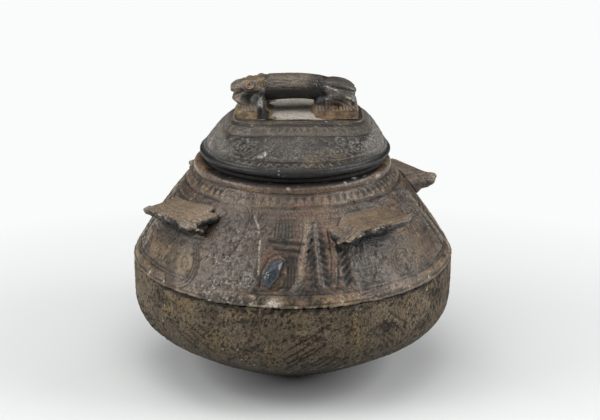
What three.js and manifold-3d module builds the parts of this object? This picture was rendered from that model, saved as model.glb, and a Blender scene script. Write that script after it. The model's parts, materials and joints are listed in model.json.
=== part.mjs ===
// A lidded jar of hand-built, blackened clay: a round pot with a ridge at its widest and four shelf lugs on
// its shoulder, and a loose domed lid whose bar handle is a four-legged beast.
import * as THREE from 'three';
import { mergeVertices } from 'three/addons/utils/BufferGeometryUtils.js';
import Module from 'manifold-3d';

const wasm = await Module();
wasm.setup();

// Driving dimensions in millimetres. The pot's axis is Z and it rests on Z = 0. The beast looks along -X.
const JOINT = 0.3; // gap left between two pieces that touch
const ROUND_STEPS = 56; // facets round the pot
const CURVE_STEPS = 5; // facets along each curve of a profile

const WALL_RADIUS = 160;
const WALL_FOOT_HEIGHT = 80; // the upright wall begins here
const CLAY = 9; // thickness of the pot's wall
// Two curves draw the round base: from its flat foot to the knee, and on through the turn into the wall.
const BASE = { foot: 45, belly: [88, 15], knee: [140, 49], turn: [158.5, 61] };
const BASE_INSIDE = { foot: 42, belly: [84, 24], knee: [135, 57], turn: [148.5, 66] };

const RIDGE = { radius: 161, height: 119, ledge: 10.5, rounding: 2.4 };
const SHOULDER = { bend: [139.5, 158], radius: 97.3, top: 209 }; // the bend draws the cone out a little
const SHOULDER_INSIDE = { bend: [130, 156], radius: 87 };

const RIM = { top: 216.5, swell: 98.4, crown: 92.5 }; // the lid rests on its top
const COLLAR = { inner: 72, radius: 80, top: 224, rounding: 3 };

// Each lug was shaped by hand: it faces a turn from +X, and its outer edge has a height and a tilt along it.
const LUGS = {
  front_right: { turn: -56.4, edgeTop: 186, tilt: 0 },
  back_right: { turn: 30, edgeTop: 181, tilt: -1 },
  back_left: { turn: 122, edgeTop: 179, tilt: 1 },
  front_left: { turn: 213.6, edgeTop: 182.5, tilt: 4 },
};
const LUG = { halfWidth: 41, waist: 34, reach: 148.3, hollow: 145, flare: 138, neck: 118, rootReach: 100 };
const LUG_ROOT = { reach: 111, top: 189 }; // where the top of a lug runs into the shoulder
const LUG_EDGE = { thickness: 6.5, rounding: 1.6, roundedShare: 0.22 };
const LUG_SWELL = 0.45; // how much thicker a lug grows for each millimetre nearer to the axis
const LUG_TIP = 0.5; // share of that thickness left at the tips

const LEAF = { turn: -98.4, reach: 143.4, height: 148, lean: 35, slope: 35.5 };
const LEAF_SIZE = { length: 34, width: 13, rise: 5 };

const LID_SHIFT = 2.5; // the lid lies this far to one side, in the play round the collar
const LID_EDGE_RADIUS = 94;
const LID_UNDERSIDE = 221;
const LID_ROLL = 4; // radius of the rolled edge
const LID_FLANK = { foot: 92, height: 229 }; // the flank starts above the rolled edge
const LID_TOP = 263.6;
const LID_TOP_ROUNDING = 1.6;
const LID_TOP_HALF = { x: 62.5, y: 43 };
const LID_TOP_SHIFT = 3.5; // the flat top is this far off the middle of the round edge
const LID_TOP_SQUARENESS = { front: 7.5, back: 3 }; // powers of the super-ellipse; 2 is a circle
const LID_STRAIGHTNESS = { x: 0.78, y: 0.52 }; // 1 makes the flanks straight, and less makes them belly out
const LID_HOLLOW = { ceiling: 254.2, ceilingInset: 7, flankInset: 9, flankDrop: 4.5 };
const LID_MOUTH = { radius: 83.2, top: 224.5 }; // where the hollow opens above the seat ring
const SEAT_RING = { inner: 82.8, outer: 89.5, bevel: 1 };

const BAR = { start: -26.7, end: 62, crest: 299.8, crestAt: 3, underside: 275.8, halfDepth: 12.3 };
const BAR_FALL = { ahead: 0.0013, behind: 0.0037, under: 0.0035 }; // how fast the back and underside fall
const ARCH_REACH = 22; // the underside arches down this far to both sides, and then runs level
const HAUNCH = { start: 24, rise: 0.16 }; // behind its start the underside climbs to the rump
const RUMP = { start: 50, length: 12.5, blunt: 0.35 };
const HEAD = { snout: -59.7, crown: 298.8, brow: 9.6, nape: 1.4, jaw: 276.6, mouth: 6.4, halfDepth: 11.6 };
const EYE = { place: [-41.5, 10.4, 290.5], half: [4.4, 2.4, 4.4] };
const EAR = { place: [-30.5, 6.5, 297], half: [3.2, 2.6, 3.6] };
// Both posts are rounded blocks that spread at their feet. A level's rise is above the lid's flat top.
const POST_HALF_DEPTH = 13;
const FORE_POST = [
  { rise: 0, from: -53.5, to: -26, spread: 8 },
  { rise: 5, from: -55.3, to: -26.6, spread: 4 },
  { rise: 9.5, from: -57.8, to: -27, spread: 1.5 },
  { rise: 12.5, from: -56.6, to: -27, spread: -0.4 },
  { rise: 20, from: -50, to: -27, spread: -2 },
];
const HIND_POST = [
  { rise: 0, from: 20, to: 62.4, spread: 7 },
  { rise: 5, from: 21, to: 63, spread: 4 },
  { rise: 10, from: 22, to: 62.2, spread: 1.5 },
  { rise: 15, from: 22, to: 58, spread: -0.6 },
  { rise: 20, from: 23, to: 54, spread: -2 },
];
// The legs come down through these points, given as how far along, out and up, with the limb's radius there.
const FORELEG = [[-27.5, 12, 284, 2.6], [-26.5, 15.5, 276, 3], [-25.5, 19.5, 269.5, 3.1],
  [-24, 25, 266, 2.9], [-23, 34, 265.2, 2.2]];
const SHIN = [[50, 14, 276, 5], [53, 17, 270, 4.6], [54, 20, 266, 4.4]];
const THIGH = { place: [47, 12.6, 277.5], half: [15, 6, 7.5] };
const HINDFOOT = { along: 52.6, out: 21, halfLength: 9.5, halfWidth: 8.2, height: 4 };

// Turns a closed outline, given as radius and height, round the Z axis.
function revolve(outline, curveSteps = CURVE_STEPS) {
  const geometry = new THREE.LatheGeometry(outline.getPoints(curveSteps), ROUND_STEPS);
  geometry.rotateX(Math.PI / 2);
  return geometry;
}

// Joins rings of points into one closed skin, with a fan over the first and the last ring. Each ring runs
// anticlockwise as seen from the side that the rings advance to.
function loft(rings) {
  const count = rings[0].length;
  const points = rings.flat();
  const faces = [];
  for (let i = 0; i + 1 < rings.length; i++) {
    for (let j = 0; j < count; j++) {
      const [a, b] = [i * count + j, i * count + ((j + 1) % count)];
      faces.push(a, b, b + count, a, b + count, a + count);
    }
  }
  const lastRing = (rings.length - 1) * count;
  for (const [ring, first, flip] of [[rings[0], 0, true], [rings.at(-1), lastRing, false]]) {
    const middle = points.length;
    points.push(ring.reduce((sum, p) => sum.add(p), new THREE.Vector3()).divideScalar(count));
    for (let j = 0; j < count; j++) {
      const [a, b] = [first + j, first + ((j + 1) % count)];
      faces.push(middle, flip ? b : a, flip ? a : b);
    }
  }
  const geometry = new THREE.BufferGeometry().setFromPoints(points);
  geometry.setIndex(faces);
  return geometry;
}

// The distance from the middle to the edge of a super-ellipse, at an angle from its first axis.
function edgeDistance(angle, halfA, halfB, power) {
  const [a, b] = [Math.abs(Math.cos(angle)) / halfA, Math.abs(Math.sin(angle)) / halfB];
  return (a ** power + b ** power) ** (-1 / power);
}

// A level ring for a loft that climbs along Z. Its front half, at -Y, may be squarer than its back half.
function levelRing(z, halfX, halfY, power, steps, middleX = 0, middleY = 0, frontPower = power) {
  return Array.from({ length: steps }, (_, j) => {
    const angle = (2 * Math.PI * j) / steps;
    const reach = edgeDistance(angle, halfX, halfY, angle > Math.PI ? frontPower : power);
    return new THREE.Vector3(middleX + reach * Math.cos(angle), middleY + reach * Math.sin(angle), z);
  });
}

// An upright ring for a loft that runs along +X, between a bottom and a top height.
function uprightRing(x, bottom, top, halfDepth, power, steps) {
  const halfHeight = (top - bottom) / 2;
  return Array.from({ length: steps }, (_, j) => {
    const angle = (2 * Math.PI * j) / steps;
    const reach = edgeDistance(angle, halfDepth, halfHeight, power);
    return new THREE.Vector3(x, reach * Math.cos(angle), bottom + halfHeight + reach * Math.sin(angle));
  });
}

// The manifold solid of a closed geometry, and back.
function toSolid(geometry) {
  const bare = geometry.clone();
  bare.deleteAttribute('normal');
  bare.deleteAttribute('uv');
  const merged = mergeVertices(bare, 1e-4);
  const [vertProperties, triVerts] = [merged.attributes.position.array, merged.index.array];
  return new wasm.Manifold(new wasm.Mesh({ numProp: 3, vertProperties, triVerts }));
}

function toGeometry(solid) {
  const mesh = solid.getMesh();
  const geometry = new THREE.BufferGeometry();
  geometry.setAttribute('position', new THREE.BufferAttribute(mesh.vertProperties, 3));
  geometry.setIndex(new THREE.BufferAttribute(mesh.triVerts, 1));
  return geometry;
}

// A geometry less each of the others.
function cut(geometry, ...cutters) {
  return toGeometry(cutters.reduce((left, cutter) => left.subtract(toSolid(cutter)), toSolid(geometry)));
}

// The round base and the upright wall, up to the ridge.
function baseBowl() {
  const inner = WALL_RADIUS - CLAY;
  const top = RIDGE.height - JOINT;
  const outline = new THREE.Path().moveTo(0, 0);
  outline.lineTo(BASE.foot, 0);
  outline.quadraticCurveTo(...BASE.belly, ...BASE.knee);
  outline.quadraticCurveTo(...BASE.turn, WALL_RADIUS, WALL_FOOT_HEIGHT);
  outline.lineTo(WALL_RADIUS, top);
  outline.lineTo(inner, top);
  outline.lineTo(inner, WALL_FOOT_HEIGHT);
  outline.quadraticCurveTo(...BASE_INSIDE.turn, ...BASE_INSIDE.knee);
  outline.quadraticCurveTo(...BASE_INSIDE.belly, BASE_INSIDE.foot, CLAY);
  outline.lineTo(0, CLAY);
  return revolve(outline, CURVE_STEPS - 1);
}

// The cone of the shoulder. A grown one is the same cone with a thicker wall, to cut what is luted on to it.
function shoulder(grow = 0) {
  const { height, rounding } = RIDGE;
  const ridge = RIDGE.radius + grow;
  const inner = RIDGE.radius - RIDGE.ledge;
  const [bend, bendHeight] = SHOULDER.bend;
  const outline = new THREE.Path().moveTo(inner, height);
  outline.lineTo(ridge - rounding / 2, height);
  outline.quadraticCurveTo(ridge + rounding / 4, height, ridge - rounding / 3, height + rounding);
  outline.quadraticCurveTo(bend + grow, bendHeight, SHOULDER.radius + grow, SHOULDER.top);
  outline.lineTo(SHOULDER_INSIDE.radius, SHOULDER.top);
  outline.quadraticCurveTo(...SHOULDER_INSIDE.bend, inner, height);
  return revolve(outline);
}

// The flat ring that closes the shoulder and carries the lid.
function mouthRim() {
  const bottom = SHOULDER.top + JOINT;
  const inner = COLLAR.radius + JOINT;
  const outline = new THREE.Path().moveTo(inner, bottom);
  outline.lineTo(SHOULDER.radius, bottom);
  outline.quadraticCurveTo(RIM.swell, RIM.top, RIM.crown, RIM.top);
  outline.lineTo(inner, RIM.top);
  outline.lineTo(inner, bottom);
  return revolve(outline);
}

// The low collar that keeps the lid in its place.
function neckCollar() {
  const { inner, radius, top, rounding } = COLLAR;
  const bottom = SHOULDER.top + JOINT;
  const outline = new THREE.Path().moveTo(inner, bottom);
  outline.lineTo(radius, bottom);
  outline.lineTo(radius, top - rounding);
  outline.quadraticCurveTo(radius, top, (radius + inner) / 2, top);
  outline.quadraticCurveTo(inner, top, inner, top - rounding);
  outline.lineTo(inner, bottom);
  return revolve(outline, 2);
}

// A shelf with two pointed tips and hollow sides. It is drawn in plan with the pot's axis at the origin and
// the shelf along +X, then its flat slab is sloped, swelled towards the pot and thinned towards its tips.
function lug({ edgeTop, tilt }) {
  const { halfWidth, waist, reach, hollow, flare, neck, rootReach } = LUG;
  const plan = new THREE.Shape().moveTo(rootReach, -waist);
  plan.lineTo(neck, -waist);
  plan.quadraticCurveTo(flare, -waist, reach, -halfWidth);
  plan.quadraticCurveTo(hollow, 0, reach, halfWidth);
  plan.quadraticCurveTo(flare, waist, neck, waist);
  plan.lineTo(rootReach, waist);
  plan.closePath();
  const { thickness, rounding, roundedShare } = LUG_EDGE;
  const slab = new THREE.ExtrudeGeometry(plan, {
    depth: 1 - 2 * roundedShare,
    curveSegments: CURVE_STEPS,
    bevelThickness: roundedShare,
    bevelSize: rounding,
    bevelOffset: -rounding,
    bevelSegments: 2,
  });
  const place = slab.attributes.position;
  const slope = (LUG_ROOT.top - edgeTop) / (reach - LUG_ROOT.reach);
  for (let i = 0; i < place.count; i++) {
    const inward = Math.max(0, reach - place.getX(i));
    const aside = place.getY(i) / halfWidth;
    const top = edgeTop + slope * inward + tilt * aside;
    const depth = 1 - place.getZ(i) - roundedShare;
    const slim = 1 - (1 - LUG_TIP) * aside ** 2;
    place.setZ(i, top - depth * slim * (thickness + LUG_SWELL * inward));
  }
  return cut(slab, shoulder(JOINT), shoulderCore());
}

// What the shoulder encloses, to cut away what would stand inside it. Its skin runs within the wall.
function shoulderCore() {
  const inset = CLAY / 2;
  const [bend, bendHeight] = SHOULDER.bend;
  const outline = new THREE.Path().moveTo(0, RIDGE.height - inset);
  outline.lineTo(RIDGE.radius - 2 * inset, RIDGE.height - inset);
  outline.quadraticCurveTo(bend - inset, bendHeight, SHOULDER.radius - inset, SHOULDER.top);
  outline.lineTo(0, SHOULDER.top);
  return revolve(outline);
}

// A leaf in relief: a pointed lens, leaning to one side on the slope of the shoulder.
function leafBoss() {
  const rings = [];
  for (let along = 0.1; along < 0.95; along += 0.1) {
    const share = Math.sin(Math.PI * along ** 0.85) ** 0.8; // fullest a little below its middle
    const [halfWidth, rise] = [(LEAF_SIZE.width / 2) * share, LEAF_SIZE.rise * share];
    rings.push(uprightRing((along - 0.5) * LEAF_SIZE.length, -rise, rise, halfWidth, 2, 16));
  }
  const leaf = loft(rings);
  leaf.rotateZ(THREE.MathUtils.degToRad(90 - LEAF.lean)); // the leaf's length now climbs along +Y
  leaf.rotateX(Math.PI / 2); // and now along +Z, with its back out along -Y
  leaf.rotateX(THREE.MathUtils.degToRad(-LEAF.slope)); // lies back on the cone
  const turn = THREE.MathUtils.degToRad(LEAF.turn);
  leaf.rotateZ(turn + Math.PI / 2);
  leaf.translate(LEAF.reach * Math.cos(turn), LEAF.reach * Math.sin(turn), LEAF.height);
  return cut(leaf, shoulder(JOINT), shoulderCore());
}

// The lid's outline at a share of the way up from its rolled edge, as a circle, to its squarish flat top.
// The flanks belly out, and an inset makes the outline smaller all round.
function lidRing(share, z, inset = 0) {
  const narrowed = (half, straight) =>
    LID_FLANK.foot + (half - LID_FLANK.foot) * (straight * share + (1 - straight) * share ** 4) - inset;
  const halfX = narrowed(LID_TOP_HALF.x, LID_STRAIGHTNESS.x);
  const halfY = narrowed(LID_TOP_HALF.y, LID_STRAIGHTNESS.y);
  const power = (squareness) => 2 + (squareness - 2) * share ** 1.5;
  const [back, front] = [power(LID_TOP_SQUARENESS.back), power(LID_TOP_SQUARENESS.front)];
  return levelRing(z, halfX, halfY, back, ROUND_STEPS, LID_TOP_SHIFT * share, 0, front);
}

// The hollow dome, from the middle of its ceiling down and out to the edge, and up to the flat top.
function lidShell() {
  const { ceiling, ceilingInset, flankInset, flankDrop } = LID_HOLLOW;
  const rise = LID_TOP - LID_TOP_ROUNDING - LID_FLANK.height;
  const rings = [lidRing(1, ceiling, ceilingInset)];
  for (const share of [0.75, 0.5, 0.25]) {
    rings.push(lidRing(share, LID_FLANK.height + share * rise - flankDrop, flankInset));
  }
  for (const z of [LID_MOUTH.top, LID_UNDERSIDE]) {
    rings.push(levelRing(z, LID_MOUTH.radius, LID_MOUTH.radius, 2, ROUND_STEPS));
  }
  for (const angle of [-90, -45, 0, 35].map(THREE.MathUtils.degToRad)) {
    const radius = LID_EDGE_RADIUS - LID_ROLL * (1 - Math.cos(angle));
    rings.push(levelRing(LID_UNDERSIDE + LID_ROLL * (1 + Math.sin(angle)), radius, radius, 2, ROUND_STEPS));
  }
  const steps = CURVE_STEPS + 1;
  for (let i = 0; i <= steps; i++) rings.push(lidRing(i / steps, LID_FLANK.height + (i / steps) * rise));
  rings.push(lidRing(1, LID_TOP - LID_TOP_ROUNDING / 3, 1), lidRing(1, LID_TOP, 3));
  return loft(rings);
}

// The ring under the lid's edge that lies on the rim, round the collar.
function lidSeatRing() {
  const { inner, outer, bevel } = SEAT_RING;
  const [bottom, top] = [RIM.top + JOINT, LID_UNDERSIDE - JOINT];
  const outline = new THREE.Path().moveTo(inner, bottom + bevel);
  outline.lineTo(inner + bevel, bottom);
  outline.lineTo(outer - bevel, bottom);
  outline.lineTo(outer, bottom + bevel);
  outline.lineTo(outer, top);
  outline.lineTo(inner, top);
  outline.lineTo(inner, bottom + bevel);
  return revolve(outline);
}

// The beast's back: an arched bar that droops to a round rump. A grown one is thicker all round, to cut what
// meets it.
function beastBody(grow = 0) {
  const rings = [];
  const steps = 14;
  for (let i = 0; i <= steps; i++) {
    const x = THREE.MathUtils.lerp(BAR.start, BAR.end, i / steps);
    const away = x - BAR.crestAt;
    const top = BAR.crest - (away > 0 ? BAR_FALL.behind : BAR_FALL.ahead) * away ** 2;
    const arch = BAR_FALL.under * Math.min(Math.abs(away), ARCH_REACH) ** 2;
    const bottom = BAR.underside - arch + HAUNCH.rise * Math.max(0, x - HAUNCH.start);
    const rounding = Math.max(0, (x - RUMP.start) / RUMP.length) ** 2;
    const size = Math.max(RUMP.blunt, Math.sqrt(Math.max(0, 1 - rounding)));
    const [middle, half] = [(top + bottom) / 2, ((top - bottom) / 2) * size + grow];
    rings.push(uprightRing(x, middle - half, middle + half, BAR.halfDepth * size + grow, 2.3, 20));
  }
  return loft(rings);
}

// The head, from the snout back to the neck, with a blunt muzzle and broad cheeks.
function beastHead(grow = 0) {
  const rings = [];
  const steps = 9;
  for (let i = 0; i <= steps; i++) {
    const share = i / steps;
    const x = THREE.MathUtils.lerp(HEAD.snout, BAR.start - JOINT, share);
    const forehead = Math.sqrt(1 - (1 - share) ** 2.6);
    const top = HEAD.crown - HEAD.brow * (1 - forehead) - HEAD.nape * share;
    const bottom = HEAD.jaw + HEAD.mouth * (1 - share) ** 0.8;
    const fullness = 0.42 + 0.58 * Math.sin(Math.PI * (0.12 + 0.42 * share)); // narrow snout, full cheeks
    rings.push(uprightRing(x, bottom - grow, top + grow, HEAD.halfDepth * fullness + grow, 2.4, 20));
  }
  return loft(rings);
}

// A post between two X values at each level, from the lid's flat top up into the beast.
function post(levels) {
  const foot = LID_TOP + JOINT;
  return loft(levels.map(({ rise, from, to, spread }) =>
    levelRing(foot + rise, (to - from) / 2, POST_HALF_DEPTH + spread, 4, 20, (from + to) / 2)));
}

// A tapering limb down one side of the beast, through a few points with a radius at each.
function limb(stops, side) {
  const path = new THREE.CatmullRomCurve3(stops.map(([x, y, z]) => new THREE.Vector3(x, side * y, z)));
  const steps = 3 * (stops.length - 1);
  const { normals, binormals } = path.computeFrenetFrames(steps, false);
  const rings = [];
  for (let i = 0; i <= steps; i++) {
    const stop = Math.min(stops.length - 2, Math.floor(i / 3));
    const radius = THREE.MathUtils.lerp(stops[stop][3], stops[stop + 1][3], i / 3 - stop);
    rings.push(Array.from({ length: 10 }, (_, j) => {
      const angle = (2 * Math.PI * j) / 10;
      return path.getPoint(i / steps)
        .addScaledVector(normals[i], radius * Math.cos(angle))
        .addScaledVector(binormals[i], radius * Math.sin(angle));
    }));
  }
  return loft(rings);
}

// A slender foreleg that comes down the post's corner and turns out into a long foot.
function foreleg(side) {
  return cut(limb(FORELEG, side), beastBody(JOINT), beastHead(JOINT), grownPost(post(FORE_POST)), topSlab());
}

// A hind leg: a long thigh against the beast's side, a shin below it and a broad foot that stands out.
function hindleg(side) {
  const { along, out, halfLength, halfWidth, height } = HINDFOOT;
  const foot = loft([[0, 0.98], [0.4, 1], [0.8, 0.96], [1, 0.8]].map(([rise, size]) => {
    const z = LID_TOP + JOINT + rise * height;
    return levelRing(z, halfLength * size, halfWidth * size, 3.4, 20, along, side * out);
  }));
  const [thigh, shin] = [ellipsoid(THIGH, side, 20), limb(SHIN, side)];
  const leg = toGeometry(toSolid(thigh).add(toSolid(shin)).add(toSolid(foot)));
  return cut(leg, beastBody(JOINT), grownPost(post(HIND_POST)), topSlab());
}

// An ellipsoid on one side of the beast.
function ellipsoid({ place: [x, y, z], half }, side, steps) {
  const ball = new THREE.SphereGeometry(1, steps, Math.round(steps * 0.6));
  return ball.scale(...half).translate(x, side * y, z);
}

// A post made a little larger all round, to cut the leg that lies against it.
function grownPost(geometry) {
  geometry.computeBoundingBox();
  const { min, max } = geometry.boundingBox;
  const middle = min.clone().add(max).divideScalar(2);
  const size = max.clone().sub(min);
  const grown = geometry.clone().translate(-middle.x, -middle.y, -middle.z);
  grown.scale(1 + (2 * JOINT) / size.x, 1 + (2 * JOINT) / size.y, 1 + (2 * JOINT) / size.z);
  return grown.translate(middle.x, middle.y, middle.z);
}

// The lid's flat top and all below it, as a block.
function topSlab() {
  const [width, depth] = [2 * LID_EDGE_RADIUS, LID_TOP - LID_FLANK.height];
  return new THREE.BoxGeometry(width, width, depth).translate(0, 0, LID_TOP + JOINT - depth / 2);
}

// A pellet of clay pressed on to the head.
function pellet(shape, side) {
  return cut(ellipsoid(shape, side, 12), beastHead(JOINT), beastBody(JOINT));
}

function clay(color, roughness) {
  return new THREE.MeshStandardMaterial({ color, roughness, metalness: 0 });
}

function addPiece(group, name, geometry, material) {
  const mesh = new THREE.Mesh(geometry, material());
  mesh.name = name;
  group.add(mesh);
  return mesh;
}

const roughClay = () => clay(0x6b5d4a, 0.85);
const burnishedClay = () => clay(0x4a3d31, 0.5);
const blackenedClay = () => clay(0x3b3834, 0.42);

function jar() {
  const group = new THREE.Group();
  addPiece(group, 'base_bowl', baseBowl(), roughClay);
  addPiece(group, 'shoulder', shoulder(), burnishedClay);
  addPiece(group, 'mouth_rim', mouthRim(), burnishedClay);
  addPiece(group, 'neck_collar', neckCollar(), burnishedClay);
  for (const [place, shape] of Object.entries(LUGS)) {
    const piece = addPiece(group, `lug_${place}`, lug(shape), burnishedClay);
    piece.rotation.z = THREE.MathUtils.degToRad(shape.turn);
  }
  addPiece(group, 'leaf_boss', leafBoss(), blackenedClay);
  return group;
}

function lid() {
  const group = new THREE.Group();
  const dome = new THREE.Group();
  dome.position.x = LID_SHIFT;
  group.add(dome);
  addPiece(dome, 'lid_shell', lidShell(), blackenedClay);
  addPiece(dome, 'lid_seat_ring', lidSeatRing(), blackenedClay);
  addPiece(group, 'beast_body', beastBody(), blackenedClay);
  addPiece(group, 'beast_head', beastHead(), blackenedClay);
  addPiece(group, 'fore_post', cut(post(FORE_POST), beastBody(JOINT), beastHead(JOINT)), blackenedClay);
  addPiece(group, 'hind_post', cut(post(HIND_POST), beastBody(JOINT)), blackenedClay);
  for (const [name, side] of [['left', -1], ['right', 1]]) {
    addPiece(group, `${name}_foreleg`, foreleg(side), blackenedClay);
    addPiece(group, `${name}_hindleg`, hindleg(side), blackenedClay);
    addPiece(group, `${name}_ear`, pellet(EAR, side), blackenedClay);
    addPiece(group, `${name}_eye`, pellet(EYE, side), blackenedClay);
  }
  return group;
}

const liddedJar = new THREE.Group();
liddedJar.add(jar(), lid());

export default liddedJar;
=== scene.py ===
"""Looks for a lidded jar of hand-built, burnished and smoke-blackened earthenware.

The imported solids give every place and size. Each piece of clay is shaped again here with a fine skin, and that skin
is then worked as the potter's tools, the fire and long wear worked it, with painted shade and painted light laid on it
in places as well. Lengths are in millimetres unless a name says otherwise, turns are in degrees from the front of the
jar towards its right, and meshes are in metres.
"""

import json
import logging
import math
from collections.abc import Callable, Iterable, Sequence
from dataclasses import dataclass, replace
from enum import Enum

import bmesh
import bpy
import numpy as np
from mathutils import Euler, Matrix, Vector

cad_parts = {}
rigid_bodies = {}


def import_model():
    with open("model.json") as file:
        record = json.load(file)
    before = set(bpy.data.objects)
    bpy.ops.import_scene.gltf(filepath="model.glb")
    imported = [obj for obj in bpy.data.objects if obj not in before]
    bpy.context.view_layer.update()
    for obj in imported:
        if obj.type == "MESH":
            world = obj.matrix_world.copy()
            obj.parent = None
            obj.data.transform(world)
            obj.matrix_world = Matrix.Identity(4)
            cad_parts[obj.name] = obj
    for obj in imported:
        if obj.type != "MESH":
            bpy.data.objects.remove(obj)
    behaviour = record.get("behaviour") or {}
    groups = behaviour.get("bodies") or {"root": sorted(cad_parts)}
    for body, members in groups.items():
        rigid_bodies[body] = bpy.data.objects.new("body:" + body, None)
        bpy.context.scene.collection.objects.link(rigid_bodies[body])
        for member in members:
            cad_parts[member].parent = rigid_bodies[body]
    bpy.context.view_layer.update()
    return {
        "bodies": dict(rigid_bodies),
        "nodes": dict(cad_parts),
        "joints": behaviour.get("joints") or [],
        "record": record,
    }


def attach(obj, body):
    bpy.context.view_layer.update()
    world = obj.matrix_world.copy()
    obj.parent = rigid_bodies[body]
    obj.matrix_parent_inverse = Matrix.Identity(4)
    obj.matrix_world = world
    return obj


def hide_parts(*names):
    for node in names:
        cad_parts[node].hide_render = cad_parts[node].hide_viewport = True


MM = 0.001
FULL_TURN = 360
LOG = logging.getLogger("lidded_jar")

Array = np.ndarray
Place = tuple[float, float]


# Sums and curves.


class ClayNoise:
    """Smooth gradient noise in space, alike in each run.

    Attributes:
        SPAN: After how many cells the noise repeats. It is a power of two.
        GAIN: What brings a gradient noise up to about -1 to 1.
        ASIDE: How far, in cells, each octave is moved from the last, so that their cells never line up.
    """

    SPAN = 256
    GAIN = 1.6
    ASIDE = 17.3

    def __init__(self, seed: int) -> None:
        """Draws the noise's directions.

        Args:
            seed: Picks one noise out of many.
        """
        draw = np.random.default_rng(seed)
        order = draw.permutation(self.SPAN)
        self.order = np.concatenate([order, order])
        directions = draw.normal(size=(self.SPAN, 3))
        self.directions = directions / np.linalg.norm(directions, axis=1)[:, None]

    def _layer(self, places: Array) -> Array:
        """Works out one octave of the noise.

        Args:
            places: Places in noise cells, one in each row.

        Returns:
            A value for each place, from about -1 to 1.
        """
        cell = np.floor(places).astype(int)
        inside = places - cell
        blend = inside**3 * (inside * (inside * 6 - 15) + 10)
        total = np.zeros(len(places))
        for corner in np.ndindex(2, 2, 2):
            key = (cell + corner) & (self.SPAN - 1)
            pick = self.order[self.order[self.order[key[:, 0]] + key[:, 1]] + key[:, 2]]
            weight = np.prod(np.where(corner, blend, 1 - blend), axis=1)
            total += weight * np.einsum("ij,ij->i", self.directions[pick], inside - corner)
        return total * self.GAIN

    def at(self, points: Array, size: float | Sequence[float], octaves: int = 1) -> Array:
        """Looks the noise up.

        Args:
            points: Places in millimetres, one in each row.
            size: How wide one swelling is, in millimetres, or that along X, Y and Z.
            octaves: How many layers to add, each half as wide and half as strong as the last.

        Returns:
            A value for each point, from about -1 to 1.
        """
        total = np.zeros(len(points))
        for octave in range(octaves):
            total += self._layer(points / np.asarray(size) * 2**octave + self.ASIDE * octave) / 2**octave
        return total


NOISE = ClayNoise(seed=11)


def smooth_step(value: Array, start: float, end: float) -> Array:
    """Returns 0 before start and 1 after end, with a smooth rise between them."""
    share = np.clip((value - start) / (end - start), 0, 1)
    return share * share * (3 - 2 * share)


def within(value: Array, low: float, high: float, blur: float) -> Array:
    """Returns 1 between low and high and 0 outside, with edges as wide as blur."""
    half = blur / 2
    return smooth_step(value, low - half, low + half) * (1 - smooth_step(value, high - half, high + half))


def soft_spot(x: Array, y: Array, middle: Place, half: Place, hardness: float = 1) -> Array:
    """Returns a round spot: 1 in its middle, fading past its half sizes, the faster the harder it is."""
    return np.exp(-((((x - middle[0]) / half[0]) ** 2 + ((y - middle[1]) / half[1]) ** 2) ** hardness))


def zigzag(turn: Array, teeth: int) -> Array:
    """Returns a line that goes from 0 to 1 and back once for each of the teeth round the jar."""
    return np.abs((turn / FULL_TURN * teeth) % 1 - 0.5) * 2


def ribs(phase: Array, sharpness: float = 2) -> Array:
    """Returns side by side ribs, one for each whole number of the phase: 1 on each and 0 between them."""
    return np.clip(np.cos(math.tau * phase), 0, 1) ** sharpness


def turn_from(turn: Array, middle: float) -> Array:
    """Returns how far each turn is from the middle, from -180 to 180."""
    return (turn - middle + FULL_TURN / 2) % FULL_TURN - FULL_TURN / 2


def groove(distance: Array, width: float) -> Array:
    """Returns how deep a groove is at a distance from its middle, from 1 there to 0 past its width."""
    return np.exp(-((distance / (0.6 * width)) ** 2))


def near_path(x: Array, y: Array, path: Sequence[Place], width: float) -> Array:
    """Draws one stroke of a pointed tool.

    Args:
        x: Places across, in millimetres.
        y: Places up, in millimetres.
        path: The points that the stroke runs through.
        width: How wide the stroke is.

    Returns:
        The depth of the stroke at each place, from 0 to 1.
    """
    least = np.full(x.shape, np.inf)
    for (x0, y0), (x1, y1) in zip(path, path[1:]):
        dx, dy = x1 - x0, y1 - y0
        share = np.clip(((x - x0) * dx + (y - y0) * dy) / (dx * dx + dy * dy), 0, 1)
        least = np.minimum(least, np.hypot(x - x0 - share * dx, y - y0 - share * dy))
    return groove(least, width)


def strokes(x: Array, y: Array, paths: Iterable[Sequence[Place]], width: float) -> Array:
    """Draws many strokes of one tool, looking only at the places near each of them.

    Args:
        x: Places across, in millimetres.
        y: Places up, in millimetres.
        paths: The points that each stroke runs through.
        width: How wide the strokes are.

    Returns:
        The depth at each place, from 0 to 1.
    """
    depth = np.zeros(x.shape)
    for path in paths:
        line = np.array(path)
        low, high = line.min(axis=0) - 2 * width, line.max(axis=0) + 2 * width
        near = np.flatnonzero((x > low[0]) & (x < high[0]) & (y > low[1]) & (y < high[1]))
        depth[near] = np.maximum(depth[near], near_path(x[near], y[near], path, width))
    return depth


def bend(start: Place, pull: Place, end: Place, count: int = 24) -> list[Place]:
    """Bends a line.

    Args:
        start: Where it starts.
        pull: What it first heads for, and in the end comes from.
        end: Where it ends.
        count: How many points it has.

    Returns:
        Its points.
    """
    curve = []
    for t in np.linspace(0, 1, count):
        weights = ((1 - t) ** 2, 2 * t * (1 - t), t * t)
        curve.append(tuple(sum(w * p[i] for w, p in zip(weights, (start, pull, end))) for i in range(2)))
    return curve


def spiral(middle: Place, size: float, turns: float, start: float = 0) -> list[Place]:
    """Draws a scroll.

    Args:
        middle: Its middle.
        size: Its radius.
        turns: How often it winds round. Negative turns wind the other way.
        start: The angle at which it starts, in degrees.

    Returns:
        Its points, from the middle outwards.
    """
    curve = []
    for share in np.linspace(0.08, 1, 9 + int(8 * abs(turns))):
        angle = math.radians(start) + math.tau * turns * share
        curve.append((middle[0] + size * share * math.cos(angle), middle[1] + size * share * math.sin(angle)))
    return curve


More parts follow.
